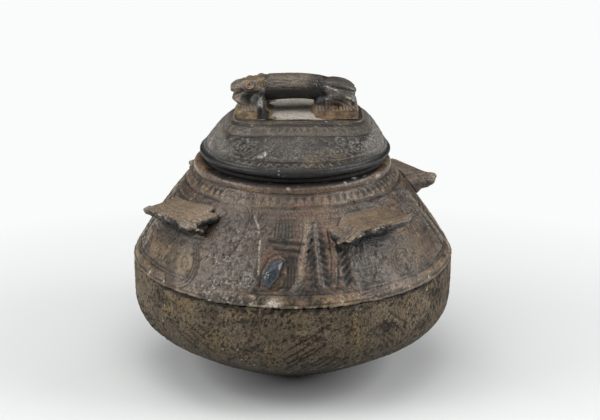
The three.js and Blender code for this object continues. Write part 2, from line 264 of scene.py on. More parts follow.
def arc(middle: Place, size: float, start: float, end: float) -> list[Place]:
    """Returns part of a circle between two angles, in degrees."""
    angles = np.radians(np.linspace(start, end, 12))
    return [(middle[0] + size * math.cos(a), middle[1] + size * math.sin(a)) for a in angles]


def fan(middle: Place, inner: float, outer: float, start: float, end: float, count: int) -> list[list[Place]]:
    """Draws straight strokes that spread like a fan.

    Args:
        middle: Where they would meet.
        inner: How far from there they start.
        outer: How far from there they end.
        start: The direction of the first, in degrees.
        end: The direction of the last.
        count: How many there are.

    Returns:
        The two ends of each.
    """
    rays = []
    for angle in np.radians(np.linspace(start, end, count)):
        rays.append([(middle[0] + r * math.cos(angle), middle[1] + r * math.sin(angle)) for r in (inner, outer)])
    return rays


def hatching(middle: Place, slant: float, count: int, gap: float, length: float, seed: int) -> list[list[Place]]:
    """Draws side by side scratches, each a little off its place.

    Args:
        middle: The middle of them all.
        slant: Their direction, in degrees.
        count: How many there are.
        gap: How far they lie apart.
        length: About how long they are.
        seed: Picks one set out of many.

    Returns:
        The points of each.
    """
    draw = np.random.default_rng(seed)
    along = np.array((math.cos(math.radians(slant)), math.sin(math.radians(slant))))
    aside = np.array((-along[1], along[0]))
    lines = []
    for index in range(count):
        place = np.array(middle) + aside * gap * (index - count / 2 + draw.normal(scale=0.15))
        place = place + along * draw.normal(scale=0.15) * length
        half = along * length * draw.uniform(0.3, 0.55) + aside * draw.normal(scale=0.5)
        lines.append([tuple(place - half), tuple(place + draw.normal(scale=0.4, size=2)), tuple(place + half)])
    return lines


def curls(low: Place, high: Place, count: int, size: float, seed: int) -> list[list[Place]]:
    """Strews short curly strokes over a field.

    Args:
        low: The field's lower left corner.
        high: Its upper right corner.
        count: How many there are.
        size: About how long they are.
        seed: Picks one set out of many.

    Returns:
        The points of each.
    """
    draw = np.random.default_rng(seed)
    lines = []
    for _ in range(count):
        middle = draw.uniform(low, high)
        start, sweep = draw.uniform(0, 360), draw.choice((-1, 1)) * draw.uniform(60, 200)
        lines.append(arc(tuple(middle), size * draw.uniform(0.25, 0.6), start, start + sweep))
    return lines


def walked(line: Array) -> Array:
    """Returns how far along a line each of its points lies."""
    return np.r_[0, np.cumsum(np.hypot(*np.diff(line, axis=0).T))]


def spaced(points: Sequence[Place], step: float) -> list[Place]:
    """Spaces a line's points evenly, and keeps both its ends.

    Args:
        points: The line's points.
        step: About how far apart the new ones are to be.

    Returns:
        The new points.
    """
    line = np.array(points)
    along = walked(line)
    stops = np.linspace(0, along[-1], max(2, round(along[-1] / step) + 1))
    return list(zip(np.interp(stops, along, line[:, 0]), np.interp(stops, along, line[:, 1])))


# The clay's skin.


class Mark(Enum):
    """What a point of the skin carries besides its shape. The finishes read each as an attribute."""

    CUT = "cut"
    # Pale earth in cuts, and painted glints.
    PALE_AND_GLINT = "pale_fill_and_glint"
    EARTH = "earth"
    RUST = "rust"
    # Bare clay in chips, and painted light on the lid.
    CHIP_AND_PAINTED_LIGHT = "chip_and_painted_light"
    # Soot, and painted shade in hollows, under parts and along edges.
    SOOT_AND_SHADE = "soot_and_shade"


class Skin:
    """The surface of one piece while it is worked: its places, outward directions, lift and marks."""

    def __init__(self, mesh: bpy.types.Mesh) -> None:
        """Reads the bare surface.

        Args:
            mesh: The mesh to work on, in metres.
        """
        self.mesh = mesh
        count = len(mesh.vertices)
        places = np.empty(count * 3, np.float32)
        mesh.vertices.foreach_get("co", places)
        self.points = places.reshape(-1, 3).astype(float) / MM
        directions = np.empty(count * 3, np.float32)
        mesh.vertex_normals.foreach_get("vector", directions)
        self.outward = directions.reshape(-1, 3).astype(float)
        self.lift = np.zeros(count)
        self.marks = {mark: np.zeros(count) for mark in Mark}

    @property
    def turn(self) -> Array:
        """The turn of each point round the axis, in degrees from the front."""
        return np.degrees(np.arctan2(self.points[:, 0], -self.points[:, 1]))

    @property
    def radius(self) -> Array:
        """The distance of each point from the axis."""
        return np.hypot(self.points[:, 0], self.points[:, 1])

    def noise(self, size: float | Sequence[float], octaves: int = 1, shift: float = 0) -> Array:
        """Returns noise at each point, of swellings as wide as size, and another one for each shift."""
        return NOISE.at(self.points + shift, size, octaves)

    def clouds(self, size: float, start: float, full: float, octaves: int = 2, shift: float = 0) -> Array:
        """Returns soft patches: 0 where the noise is below start, and 1 where it is above full."""
        return smooth_step(self.noise(size, octaves, shift), start, full)

    def cut(self, where: Array, depth: float, pale: Array | float = 0) -> None:
        """Cuts into the skin.

        Args:
            where: The share of the depth at each point.
            depth: How deep the cut is where the share is 1.
            pale: How much pale earth, and painted glint along the carving, is laid in the cut, from 0 to 1.
        """
        self.lift -= depth * where
        # The cut's mark darkens it with the soot colour, as painted shade.
        self.stain(Mark.CUT, where)
        self.stain(Mark.PALE_AND_GLINT, where * pale)

    def stain(self, mark: Mark, where: Array) -> None:
        """Adds to a mark wherever the new one is stronger than what is there."""
        self.marks[mark] = np.maximum(self.marks[mark], np.clip(where, 0, 1))

    def fix(self) -> None:
        """Moves the mesh to the worked surface and stores its marks with it."""
        moved = (self.points + self.lift[:, None] * self.outward) * MM
        self.mesh.vertices.foreach_set("co", moved.astype(np.float32).ravel())
        for mark, value in self.marks.items():
            layer = self.mesh.attributes.new(mark.value, "FLOAT", "POINT")
            layer.data.foreach_set("value", value.astype(np.float32))
        self.mesh.update()


class Field:
    """A stretch of skin to carve figures into. The figures' places are given in the field's own two measures."""

    def __init__(
        self, skin: Skin, near: Array, x: Array, y: Array, depth: Array, place: Callable[[float, float], Place]
    ) -> None:
        """Lays the field out.

        Args:
            skin: The skin.
            near: Which of its points lie on the field. The next three are for these points alone.
            x: How far across the field each point is, in millimetres.
            y: How far up it each point is, in millimetres.
            depth: How deep a tool goes in at each point.
            place: Turns the field's own two measures into millimetres across and up.
        """
        self.skin = skin
        self.near = near
        self.x = x
        self.y = y
        self.depth = depth
        self.place = place

    def line(self, *places: Place) -> list[Place]:
        """Returns the path through places that are given in the field's own measures."""
        return [self.place(*place) for place in places]

    def cut(self, paths: Sequence[Sequence[Place]], width: float, deep: float, pale: float = 0) -> None:
        """Cuts strokes into the field."""
        where = np.zeros(len(self.skin.lift))
        where[self.near] = self.depth * strokes(self.x, self.y, paths, width)
        self.skin.cut(where, deep, pale)

    def stain(self, mark: Mark, paths: Sequence[Sequence[Place]], width: float, strength: float) -> None:
        """Colours broad strokes of the field."""
        where = np.zeros(len(self.skin.lift))
        where[self.near] = strength * (self.depth > 0) * strokes(self.x, self.y, paths, width)
        self.skin.stain(mark, where)


# Making meshes.


ROW = "row"


def new_object(name: str, bm: bmesh.types.BMesh) -> bpy.types.Object:
    """Makes an object with smooth faces out of a finished bmesh.

    Args:
        name: The piece's name.
        bm: The shape, which is used up.

    Returns:
        The object, at the origin.
    """
    mesh = bpy.data.meshes.new(name)
    bm.to_mesh(mesh)
    bm.free()
    mesh.shade_smooth()
    made = bpy.data.objects.new(name, mesh)
    bpy.context.scene.collection.objects.link(made)
    return made


def turned(name: str, profile: Sequence[Place], steps: int, closed: bool) -> bpy.types.Object:
    """Bends a sheet of clay round the jar's axis so that its section is the profile.

    Args:
        name: The piece's name.
        profile: Radius and height of each point.
        steps: How many faces go round.
        closed: True if the profile's end joins its start. Otherwise both ends lie on the axis.

    Returns:
        The object. The attribute ROW of each point is its place in the profile.
    """
    outline = [*profile, profile[0]] if closed else list(profile)
    last = len(outline) - 1
    bm = bmesh.new()
    row = bm.verts.layers.float.new(ROW)
    bmesh.ops.create_grid(bm, x_segments=steps, y_segments=last, size=0.5)
    for vert in bm.verts:
        index = round((vert.co.y + 0.5) * last)
        angle = (vert.co.x + 0.5) * math.tau
        radius, height = outline[index]
        vert.co = Vector((radius * math.cos(angle), radius * math.sin(angle), height)) * MM
        vert[row] = index % len(profile)
    bmesh.ops.remove_doubles(bm, verts=bm.verts, dist=1e-3 * MM)
    bmesh.ops.recalc_face_normals(bm, faces=bm.faces)
    return new_object(name, bm)


def rows_of(mesh: bpy.types.Mesh) -> Array:
    """Reads which row of the profile each point of a turned mesh came from.

    Args:
        mesh: The mesh, which turned() made.

    Returns:
        The number of each point's row.
    """
    rows = np.empty(len(mesh.vertices), np.float32)
    mesh.attributes[ROW].data.foreach_get("value", rows)
    return np.rint(rows).astype(int)


class Lump:
    """Lumps of soft clay, pressed together and smoothed over until they are one."""

    def __init__(self) -> None:
        """Starts with no clay."""
        self.bm = bmesh.new()

    def _press(self, lump: bmesh.types.BMesh) -> None:
        """Adds one closed shape.

        Args:
            lump: The shape, which is used up.
        """
        mesh = bpy.data.meshes.new("lump")
        lump.to_mesh(mesh)
        lump.free()
        self.bm.from_mesh(mesh)
        bpy.data.meshes.remove(mesh)

    def take(self, nodes: dict[str, bpy.types.Object], names: Iterable[str], swell: float = 0.35) -> None:
        """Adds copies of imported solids, a little swollen so that they meet.

        Args:
            nodes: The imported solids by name.
            names: Which of them to copy.
            swell: How far each copy's surface moves out.
        """
        for name in names:
            copy = bmesh.new()
            copy.from_mesh(nodes[name].data)
            bmesh.ops.remove_doubles(copy, verts=copy.verts, dist=0.01 * MM)
            copy.normal_update()
            for vert in copy.verts:
                vert.co += vert.normal * swell * MM
            self._press(copy)

    def ball(self, middle: Sequence[float], half: Sequence[float], lean: float = 0, turn: float = 0) -> None:
        """Adds an egg of clay.

        Args:
            middle: Its middle.
            half: Its half sizes along X, Y and Z.
            lean: How far it is turned about Y, in degrees.
            turn: How far it is then turned about Z, in degrees.
        """
        egg = bmesh.new()
        bmesh.ops.create_uvsphere(egg, u_segments=28, v_segments=18, radius=1)
        place = Euler((0, math.radians(lean), math.radians(turn))).to_matrix().to_4x4()
        size = Matrix.Diagonal((*(value * MM for value in half), 1))
        bmesh.ops.transform(egg, matrix=Matrix.Translation(Vector(middle) * MM) @ place @ size, verts=egg.verts)
        self._press(egg)

    def roll(self, stops: Sequence[tuple[float, float, float, float]]) -> None:
        """Adds a roll of clay through a few stops, each a middle and a radius."""
        for start, end in zip(stops, stops[1:]):
            for share in np.linspace(0, 1, 7):
                x, y, z, radius = (1 - share) * np.array(start) + share * np.array(end)
                self.ball((x, y, z), (radius, radius, radius))

    def fuse(self, name: str, fineness: float, smoothing: int) -> bpy.types.Object:
        """Makes one skin out of all the clay.

        Args:
            name: The piece's name.
            fineness: How wide each face of the new skin is.
            smoothing: How often the skin is smoothed over.

        Returns:
            The object, with an even and closed skin.
        """
        rough = new_object(name + "_rough", self.bm)
        modifier = rough.modifiers.new("fuse", "REMESH")
        modifier.mode = "VOXEL"
        modifier.voxel_size = fineness * MM
        mesh = bpy.data.meshes.new_from_object(rough.evaluated_get(bpy.context.evaluated_depsgraph_get()))
        bpy.data.objects.remove(rough)
        bm = bmesh.new()
        bm.from_mesh(mesh)
        bpy.data.meshes.remove(mesh)
        for _ in range(smoothing):
            bmesh.ops.smooth_vert(bm, verts=bm.verts, factor=0.5, use_axis_x=True, use_axis_y=True, use_axis_z=True)
        bmesh.ops.recalc_face_normals(bm, faces=bm.faces)
        return new_object(name, bm)


# Finishes.


def linear(colour: str) -> tuple[float, float, float, float]:
    """Turns an sRGB hex colour into the linear one that shaders take.

    Args:
        colour: Six hex digits.

    Returns:
        Red, green, blue and an alpha of 1.
    """
    parts = [int(colour[i : i + 2], 16) / 255 for i in (0, 2, 4)]
    return (*(p / 12.92 if p <= 0.04045 else ((p + 0.055) / 1.055) ** 2.4 for p in parts), 1.0)


def add_node(
    tree: bpy.types.NodeTree, kind: str, inputs: dict[str | int, object] | None = None, **settings: object
) -> bpy.types.Node:
    """Adds a shader node.

    Args:
        tree: The tree it goes in.
        kind: The node's Blender type.
        inputs: What each input gets: a socket to link from, or a value.
        settings: The node's own settings.

    Returns:
        The node.
    """
    node = tree.nodes.new(kind)
    for name, value in settings.items():
        setattr(node, name, value)
    for key, value in (inputs or {}).items():
        if isinstance(value, bpy.types.NodeSocket):
            tree.links.new(value, node.inputs[key])
        else:
            node.inputs[key].default_value = value
    return node


@dataclass(frozen=True)
class FiredClay:
    """Low-fired earthenware. Coarse temper in the clay gives grit, burnishing with a pebble lays it flat and gives a
    dull gloss in streaks, and smoke takes the colour towards black where the pot lay in the fuel.

    Attributes:
        name: What the finish is called.
        body: The clay's own colour. This and the next six are sRGB hex values.
        cloud: The fire clouds over it.
        earth: Yellow earth that clings to it.
        rust: Iron-red earth.
        pale: Pale earth that has stayed in cuts, and painted glints along carving.
        fracture_and_painted_light: The bare clay in a chip, and painted light on the lid's top and flanks.
        soot_and_shade: Soot, and painted shade in every cut, under parts and between them.
        roughness: How matt the worn surface is, about 0.25 for burnished clay and 0.7 and more for clay as wiped.
        grit_size: How wide a grain of grit is drawn, in millimetres.
        grit_height: How far it stands out.
        streaks: How deep the pebble's streaks are.
        speckle: How strongly the temper shows in the colour.
    """

    name: str
    body: str
    cloud: str
    earth: str
    rust: str
    pale: str
    fracture_and_painted_light: str
    soot_and_shade: str
    roughness: float
    grit_size: float
    grit_height: float
    streaks: float
    speckle: float

    def material(self) -> bpy.types.Material:
        """Returns the finish as a material."""
        made = bpy.data.materials.new(self.name)
        made.use_nodes = True
        tree = made.node_tree
        tree.nodes.clear()
        place = add_node(tree, "ShaderNodeTexCoord").outputs["Object"]
        marks = {mark: add_node(tree, "ShaderNodeAttribute", attribute_name=mark.value).outputs["Fac"] for mark in Mark}
        # The silicates in fired clay have an IOR of about 1.5.
        surface = add_node(tree, "ShaderNodeBsdfPrincipled", {"IOR": 1.5, "Metallic": 0.0})
        tree.links.new(self._colour(tree, place, marks), surface.inputs["Base Color"])
        tree.links.new(self._roughness(tree, place, marks), surface.inputs["Roughness"])
        tree.links.new(self._relief(tree, place), surface.inputs["Normal"])
        add_node(tree, "ShaderNodeOutputMaterial", {"Surface": surface.outputs[0]})
        return made

    def _patches(
        self, tree: bpy.types.NodeTree, place: bpy.types.NodeSocket, size: float, start: float, full: float
    ) -> bpy.types.NodeSocket:
        """Spreads soft-edged patches over the clay.

        Args:
            tree: The material's nodes.
            place: Where on the piece a point is.
            size: How wide a patch is, in millimetres.
            start: The value of the noise at which a patch starts.
            full: The value at which it is full.

        Returns:
            0 between the patches and 1 in them.
        """
        settings = {"Vector": place, "Scale": 1 / (size * MM), "Detail": 3.0, "Roughness": 0.62}
        noise = add_node(tree, "ShaderNodeTexNoise", settings).outputs["Fac"]
        return add_node(tree, "ShaderNodeMapRange", {"Value": noise, "From Min": start, "From Max": full}).outputs[0]

    def _colour(
        self, tree: bpy.types.NodeTree, place: bpy.types.NodeSocket, marks: dict[Mark, bpy.types.NodeSocket]
    ) -> bpy.types.NodeSocket:
        """Lays the colours over each other, and speckles them with temper.

        Args:
            tree: The material's nodes.
            place: Where on the piece a point is.
            marks: The marks that the skin carries.

        Returns:
            The finished colour.
        """
        colour = linear(self.body)
        # Each layer: its mark, colour and strength, how many millimetres wide its patches are, and the values of the
        # noise between which a patch fades in.
        for mark, shade, strength, size, start, full in (
            (None, self.cloud, 1.0, 34.0, 0.38, 0.66),
            (Mark.EARTH, self.earth, 1.0, 7.0, 0.3, 0.62),
            (Mark.RUST, self.rust, 1.0, 5.0, 0.25, 0.7),
            # Soot, and painted shade; the next layer darkens every cut as painted shade.
            (Mark.SOOT_AND_SHADE, self.soot_and_shade, 0.97, 9.0, 0.1, 0.4),
            (Mark.CUT, self.soot_and_shade, 0.9, 6.0, 0.1, 0.4),
            # Bare clay in chips, and painted light; then pale earth, and painted glints.
            (Mark.CHIP_AND_PAINTED_LIGHT, self.fracture_and_painted_light, 1.0, 3.0, 0.1, 0.4),
            (Mark.PALE_AND_GLINT, self.pale, 1.0, 2.2, 0.34, 0.56),
        ):
            share = self._patches(tree, place, size, start, full)
            if mark:
                share = add_node(tree, "ShaderNodeMath", {0: share, 1: marks[mark]}, operation="MULTIPLY").outputs[0]
            share = add_node(tree, "ShaderNodeMath", {0: share, 1: strength}, operation="MULTIPLY").outputs[0]
            mix = add_node(tree, "ShaderNodeMix", {0: share, 6: colour, 7: linear(shade)}, data_type="RGBA")
            colour = mix.outputs[2]
        # Real temper is about 0.5 mm wide, too fine for the render, so it is drawn 1.3 mm wide.
        temper = self._patches(tree, place, 1.3, 0.4, 0.62)
        settings = {"Value": temper, "To Min": 0.94 - self.speckle, "To Max": 0.94 + 0.7 * self.speckle}
        value = add_node(tree, "ShaderNodeMapRange", settings).outputs[0]
        return add_node(tree, "ShaderNodeHueSaturation", {"Color": colour, "Value": value}).outputs[0]

    def _roughness(
        self, tree: bpy.types.NodeTree, place: bpy.types.NodeSocket, marks: dict[Mark, bpy.types.NodeSocket]
    ) -> bpy.types.NodeSocket:
        """Returns the roughness: uneven all over, and dull in cuts, chips, earth and soot.

        Args:
            tree: The material's nodes.
            place: Where on the piece a point is.
            marks: The marks that the skin carries.
        """
        uneven = self._patches(tree, place, 9.0, 0.3, 0.7)
        settings = {"Value": uneven, "To Min": self.roughness - 0.08, "To Max": self.roughness + 0.1}
        rough = add_node(tree, "ShaderNodeMapRange", settings).outputs[0]
        for mark, more in ((Mark.CUT, 0.25), (Mark.EARTH, 0.14), (Mark.CHIP_AND_PAINTED_LIGHT, 0.35), (Mark.SOOT_AND_SHADE, 0.22)):
            settings = {0: marks[mark], 1: more, 2: rough}
            rough = add_node(tree, "ShaderNodeMath", settings, operation="MULTIPLY_ADD").outputs[0]
        return rough

    def _relief(self, tree: bpy.types.NodeTree, place: bpy.types.NodeSocket) -> bpy.types.NodeSocket:
        """Returns the direction of the finest relief: grit, and the streaks of the burnishing pebble.

        Args:
            tree: The material's nodes.
            place: Where on the piece a point is.
        """
        # The pebble is drawn round the pot, so its streaks are long across and narrow upwards. Real grit and streaks
        # are under 1 mm wide, too fine for the render, so both are drawn about twice as coarse.
        level = add_node(tree, "ShaderNodeMapping", {"Vector": place, "Scale": (0.06, 0.06, 1.0)}).outputs[0]
        height = 0.0
        grit, streaks = (place, self.grit_size, 4.0, self.grit_height), (level, 1.6, 2.0, self.streaks)
        for where, size, detail, tall in (grit, streaks):
            settings = {"Vector": where, "Scale": 1 / (size * MM), "Detail": detail}
            noise = add_node(tree, "ShaderNodeTexNoise", settings).outputs["Fac"]
            settings = {0: noise, 1: tall, 2: height}
            height = add_node(tree, "ShaderNodeMath", settings, operation="MULTIPLY_ADD").outputs[0]
        return add_node(tree, "ShaderNodeBump", {"Height": height, "Strength": 1.0, "Distance": MM}).outputs[0]


# Unburnished low-fired clay, wiped wet: coarse grit stands out of it and it has no gloss.
ROUGH_CLAY = FiredClay(
    name="rough earthenware",
    body="5c4e3b",
    cloud="74654f",
    earth="836f4b",
    rust="6a4830",
    pale="b0a694",
    fracture_and_painted_light="94866f",
    soot_and_shade="171310",
    roughness=0.72,
    grit_size=2.6,
    grit_height=2.8,
    streaks=0.15,
    speckle=0.5,
)
# Slipped and burnished clay with fire clouds: brown where air reached it, darker where smoke did.
BURNISHED_CLAY = FiredClay(
    name="burnished earthenware",
    body="4c3d31",
    cloud="6a5746",
    earth="877151",
    rust="724636",
    pale="dcd5c8",
    fracture_and_painted_light="aa9c88",
    soot_and_shade="100e0c",
    roughness=0.27,
    grit_size=2.2,
    grit_height=0.8,
    streaks=0.5,
    speckle=0.4,
)
# The same clay, smothered at the end of the firing: blue-grey to black, with the closest gloss.
BLACKENED_CLAY = replace(
    BURNISHED_CLAY,
    name="blackened earthenware",
    body="352f2b",
    cloud="4c443c",
    earth="84704f",
    rust="6a4630",
    pale="cfc8bb",
    fracture_and_painted_light="9c968c",
    soot_and_shade="060505",
    roughness=0.26,
    grit_height=0.7,
    speckle=0.42,
)
# Clay between the lid and the rim, never burnished: dull black, with soot and the painted shade of that deep gap.
SHADED_SOOTY_CLAY = replace(
    BURNISHED_CLAY,
    name="smoke-blackened earthenware in painted shade",
    body="0d0b0a",
    cloud="171412",
    earth="2a2219",
    rust="241813",
    pale="5c574f",
    fracture_and_painted_light="39332b",
    soot_and_shade="050404",
    roughness=0.85,
    grit_height=0.9,
    streaks=0.0,
    speckle=0.3,
)
# Blackened clay that was rubbed longest, so that it is bluish and nearly as smooth as glass.
POLISHED_CLAY = replace(
    BLACKENED_CLAY,
    name="polished blackened earthenware",
    body="2f3338",
    cloud="434a50",
    earth="6d5f4a",
    fracture_and_painted_light="b3a58c",
    soot_and_shade="101216",
    roughness=0.24,
    grit_height=0.5,
    streaks=0.2,
    speckle=0.4,
)


# The jar.


LUG_TURNS = {"lug_front_right": 33.6, "lug_back_right": 120, "lug_back_left": -148, "lug_front_left": -56.4}
SHOULDER_LINE = np.array(bend((160.2, 121.4), (139.5, 158), (97.3, 209), 120))
SHOULDER_WALKED = walked(SHOULDER_LINE)


def shoulder_radius(height: Array | Sequence[float] | float) -> Array:
    """Returns how far from the axis the shoulder's outer face is at a height."""
    return np.interp(height, SHOULDER_LINE[:, 1], SHOULDER_LINE[:, 0])


def shoulder_slope(height: Array | Sequence[float] | float) -> Array:
    """Returns how far up the shoulder's slope a height is."""
    return np.interp(height, SHOULDER_LINE[:, 1], SHOULDER_WALKED)


def off_shoulder(skin: Skin) -> Array:
    """Returns how far each point of a piece stands off the shoulder."""
    return skin.radius - shoulder_radius(skin.points[:, 2])


@dataclass
class Shoulder:
    """The cone between the ridge and the rim, with its carved bands and panels.

    Attributes:
        steps: How many faces go round.
        row_step: How wide the rows of faces are on the outer face.
        foot: The height of its foot.
        around: How many millimetres one degree of turn is, halfway up.
        teeth: How many teeth the band below the rim has.
        hatches: How many strokes the hatched band has.
        rings: The height, width and depth of each ring.
        panels: The middle of each panel, -1 if it is mirrored, and its left and right ends, in turns.
        earthy: The turn, height, half sizes and strength of each patch of yellow earth.
        fronts: Marks on the front, and how strong each is. Then the turns between which it lies, and how softly it
            ends there, and the same for its heights.
    """

    steps: int = 980
    row_step: float = 1.3
    foot: float = 119.3
    around: float = 2.2
    teeth: int = 82
    hatches: int = 210
    rings: tuple[tuple[float, float, float], ...] = (
        (208, 1.6, 0.7),
        (197.6, 2, 1.3),
        (188.6, 1.3, 0.55),
        (187, 1.1, 0.35),
        (134, 1.5, 1),
        (131.2, 1.4, 0.9),
    )
    panels: tuple[tuple[float, int, float, float], ...] = (
        (0, 1, -84, 84),
        (86, -1, -34, 12),
        (180, 1, -56, 56),
        (-104, 1, -24, 22),
    )
    earthy: tuple[tuple[float, ...], ...] = (
        (-51, 146, 18, 12, 1.0),
        (47, 148, 12, 13, 0.8),
        (140, 150, 16, 14, 0.8),
        (-128, 145, 18, 12, 0.9),
    )
    fronts: tuple[tuple[Mark, float, Place, float, Place, float], ...] = (
        (Mark.RUST, 0.5, (0, 20), 6, (150, 208), 8),
        (Mark.CHIP_AND_PAINTED_LIGHT, 0.06, (-14, 40), 12, (176, 208), 10),
        (Mark.SOOT_AND_SHADE, 0.42, (-40, -8), 12, (132, 196), 14),
        (Mark.SOOT_AND_SHADE, 0.3, (16, 62), 10, (134, 160), 12),
        (Mark.SOOT_AND_SHADE, 0.7, (-33, -6), 6, (119, 128), 4),
    )

    def build(self) -> bpy.types.Object:
        """Returns the dressed shoulder."""
        ridge = [(150.5, self.foot), (158.6, self.foot)] + bend((158.6, self.foot), (160.7, 119.4), (160.2, 121.4), 5)
        outer = spaced(SHOULDER_LINE, self.row_step)
        inner = spaced(bend((87, 209), (130, 156), (150.5, self.foot), 20), 11)
        profile = ridge + outer[1:] + inner[:-1]
        made = turned("shoulder_clay", profile, self.steps, closed=True)
        rows = rows_of(made.data)
        heights = np.array(profile)[:, 1]
        outside = (rows >= 1) & (rows < len(ridge) + len(outer) - 1)
        skin = Skin(made.data)
        self._carve(skin, heights[rows], outside.astype(float))
        skin.fix()
        return made

    @staticmethod
    def _place(turn: float, height: float) -> Place:
        """Turns a turn from a panel's middle and a height into millimetres across and up the slope."""
        return math.radians(turn) * float(shoulder_radius(height)), float(shoulder_slope(height))

    def _carve(self, skin: Skin, height: Array, outside: Array) -> None:
        """Cuts the bands and panels into the skin.

        Args:
            skin: The bare skin.
            height: The height of each point before the pot went out of true.
            outside: 1 on the outer face, and 0 inside.
        """
        up = shoulder_slope(height) + 0.6 * skin.noise(13) * outside
        turn = skin.turn + 0.3 * skin.noise(17, shift=40)
        worn = 0.85 + 0.75 * skin.noise(21, 2, shift=90) + 0.35 * skin.noise(6, shift=50)
        depth = outside * np.clip(1.25 * worn, 0.2, 1.5)
        skin.lift += outside * (0.5 * skin.noise(60, 2) + 0.2 * skin.noise(9, 2) - 0.4)
        brush = skin.noise((42, 42, 1.9), 2, shift=15)
        skin.lift += 0.2 * outside * brush
        skin.stain(Mark.SOOT_AND_SHADE, outside * 0.5 * smooth_step(-brush, 0.12, 0.6))

        # The bands are nearly rubbed away to the left of the front.
        bands = depth * (1 - 0.8 * within(turn, -40, -17, 8))
        for at, width, deep in self.rings:
            skin.cut(bands * groove(up - shoulder_slope(at), width), deep)
        skin.cut(depth * groove(up - shoulder_slope(123.4), 1.6), 0.55)
        low, high = shoulder_slope((199.6, 206.6))
        rise = (up - low) / (high - low)
        tooth = zigzag(turn, self.teeth)
        band = within(rise, 0, 1, 0.15)
        skin.cut(bands * np.clip((rise - tooth) * 2, 0, 1) * band, 1)
        tan = 0.45 + 0.4 * skin.noise(30, 2, shift=73)
        skin.stain(Mark.EARTH, tan * outside * np.clip((tooth - rise) * 2, 0, 1) * band)
        low, high = shoulder_slope((190.6, 195.8))
        hatch = ribs(turn / FULL_TURN * self.hatches + up * 0.14)
        skin.cut(bands * hatch * within(up, low, high, 1.4), 0.6)

        half = FULL_TURN / 2 * self.around
        strewn = curls((-half, 4), (half, SHOULDER_WALKED[-1] - 4), 1700, 6, seed=5)
        skin.cut(0.75 * depth * strokes(turn * self.around, up, strewn, 1.3), 0.7)
        for index, (middle, side, left, right) in enumerate(self.panels):
            local = side * turn_from(turn, middle)
            near = np.flatnonzero((local > left) & (local < right))
            x = np.radians(local[near]) * shoulder_radius(height[near])
            panel = Field(skin, near, x, up[near], depth[near], self._place)
            self._gourd(panel, index)
            self._frame(panel)
            self._vines(panel)
            self._swirls(panel, index)
        self._colour(skin, turn, height, outside)
        self._ridge(skin, turn, height, outside)

    def _gourd(self, panel: Field, index: int) -> None:
        """Cuts the gourd at the left: its two long lines, and the pale curls in and under it.

        Args:
            panel: The panel. Its places are turns from its middle, and heights.
            index: Which panel it is, which picks its curls.
        """
        right = [(-18.5, 191.5), (-16.8, 187), (-15.2, 183), (-14.6, 178)]
        panel.cut([panel.line(*right), panel.line((-13.6, 173), (-13.2, 165), (-12.4, 147))], 1.0, 0.9, 0.62)
        left = [(-18.5, 191.5), (-20.4, 186), (-20.8, 178), (-22.4, 166), (-25, 157), (-31, 150)]
        panel.cut([panel.line(*left)], 1.3, 0.7, 0.04)
        # The pale in these curls is pale earth, and painted glints on their edges.
        for low, high, count, size, seed, deep, pale in (
            ((-31, 134), (-15, 157), 130, 4.4, 0, 0.8, 0.34),
            ((-24, 152), (-16, 180), 26, 4, 10, 0.5, 0.3),
            ((-34, 122), (-12, 132), 34, 3, 20, 0.6, 0.45),
        ):
            panel.cut(curls(*panel.line(low, high), count, size, seed=seed + index), 1.0, deep, pale)

    def _frame(self, panel: Field) -> None:
        """Cuts the frame round the leaf, and the bars and ribbed field above it.

        Args:
            panel: The panel. Its places are turns from its middle, and heights.
        """
        frame = [(-11.3, 137), (-11, 150), (-8.6, 160), (-5, 163), (-2.4, 159), (-1.6, 148), (-3, 138), (-6, 134)]
        panel.cut([panel.line(*frame)], 1.7, 0.9)
        bow = [panel.line((-10.4, 157), (-9, 160.5), (-6, 162))]
        panel.stain(Mark.RUST, bow, 6, 1)
        panel.stain(Mark.EARTH, bow, 7, 1)
        bars = [panel.line((-9.5, 172.5), (4.6, 170.5)), panel.line((-7, 167), (3.6, 164.5))]
        panel.cut(bars, 2.8, 1)
        panel.stain(Mark.SOOT_AND_SHADE, bars, 3.4, 0.8)
        panel.cut([panel.line((turn, 137), (turn * 0.92, 161)) for turn in (-1.3, -0.2, 0.9, 2)], 1.5, 0.6)
        panel.cut([panel.line((turn, 176.5), (turn * 0.96, 187)) for turn in np.arange(-7.4, 3.6, 1.5)], 1.6, 0.5)
        panel.stain(Mark.SOOT_AND_SHADE, [panel.line((-4, 178), (-3, 186))], 13, 0.6)
        panel.stain(Mark.SOOT_AND_SHADE, [panel.line((0.3, 139), (0.2, 160))], 8, 0.6)

    def _vines(self, panel: Field) -> None:
        """Cuts the two upright ribbons, and the vines with paired leaves beside them.

        Args:
            panel: The panel. Its places are turns from its middle, and heights.
        """
        first = panel.line((0.6, 135), (2.6, 141), (3, 147), (3.6, 155), (5, 167), (6.4, 176), (7.4, 186))
        second = panel.line((14.4, 136), (15.6, 146), (16.8, 160), (17.4, 172), (17.2, 181))
        for path, wide, narrow, pale in ((first, 11, 6, 0.14), (second[2:], 8, 4, 0.12)):
            panel.stain(Mark.EARTH, [path], wide, 1)
            panel.stain(Mark.PALE_AND_GLINT, [path], narrow, pale)
        panel.cut([[(x + 4.8, y) for x, y in first], [(x - 4.6, y) for x, y in first]], 1.6, 1)
        panel.cut([[(x + 1, y - 1.5), (x + 4.4, y + 1)] for x, y in spaced(first, 5.6)], 2.2, 0.8)
        panel.cut([[(x + side * 3.4, y) for x, y in second] for side in (-1, 1)], 1.4, 0.7)
        leaves = []
        for heights, pair in (((138, 180), ((6.8, 1.7), (13, -1.9))), ((137, 168), ((8.6, -1.2), (19.4, 1.8)))):
            for height in np.arange(*heights, 5.4):
                leaves += [panel.line((turn, height), (turn + lean, height + 3.4)) for turn, lean in pair]
        panel.cut(leaves, 3.2, 1.2)
        panel.stain(Mark.SOOT_AND_SHADE, leaves, 4, 0.9)
        panel.cut([panel.line((turn, 137), (turn - 0.3, 190)) for turn in (10.1, 11.3)], 1.2, 0.7, 0.2)

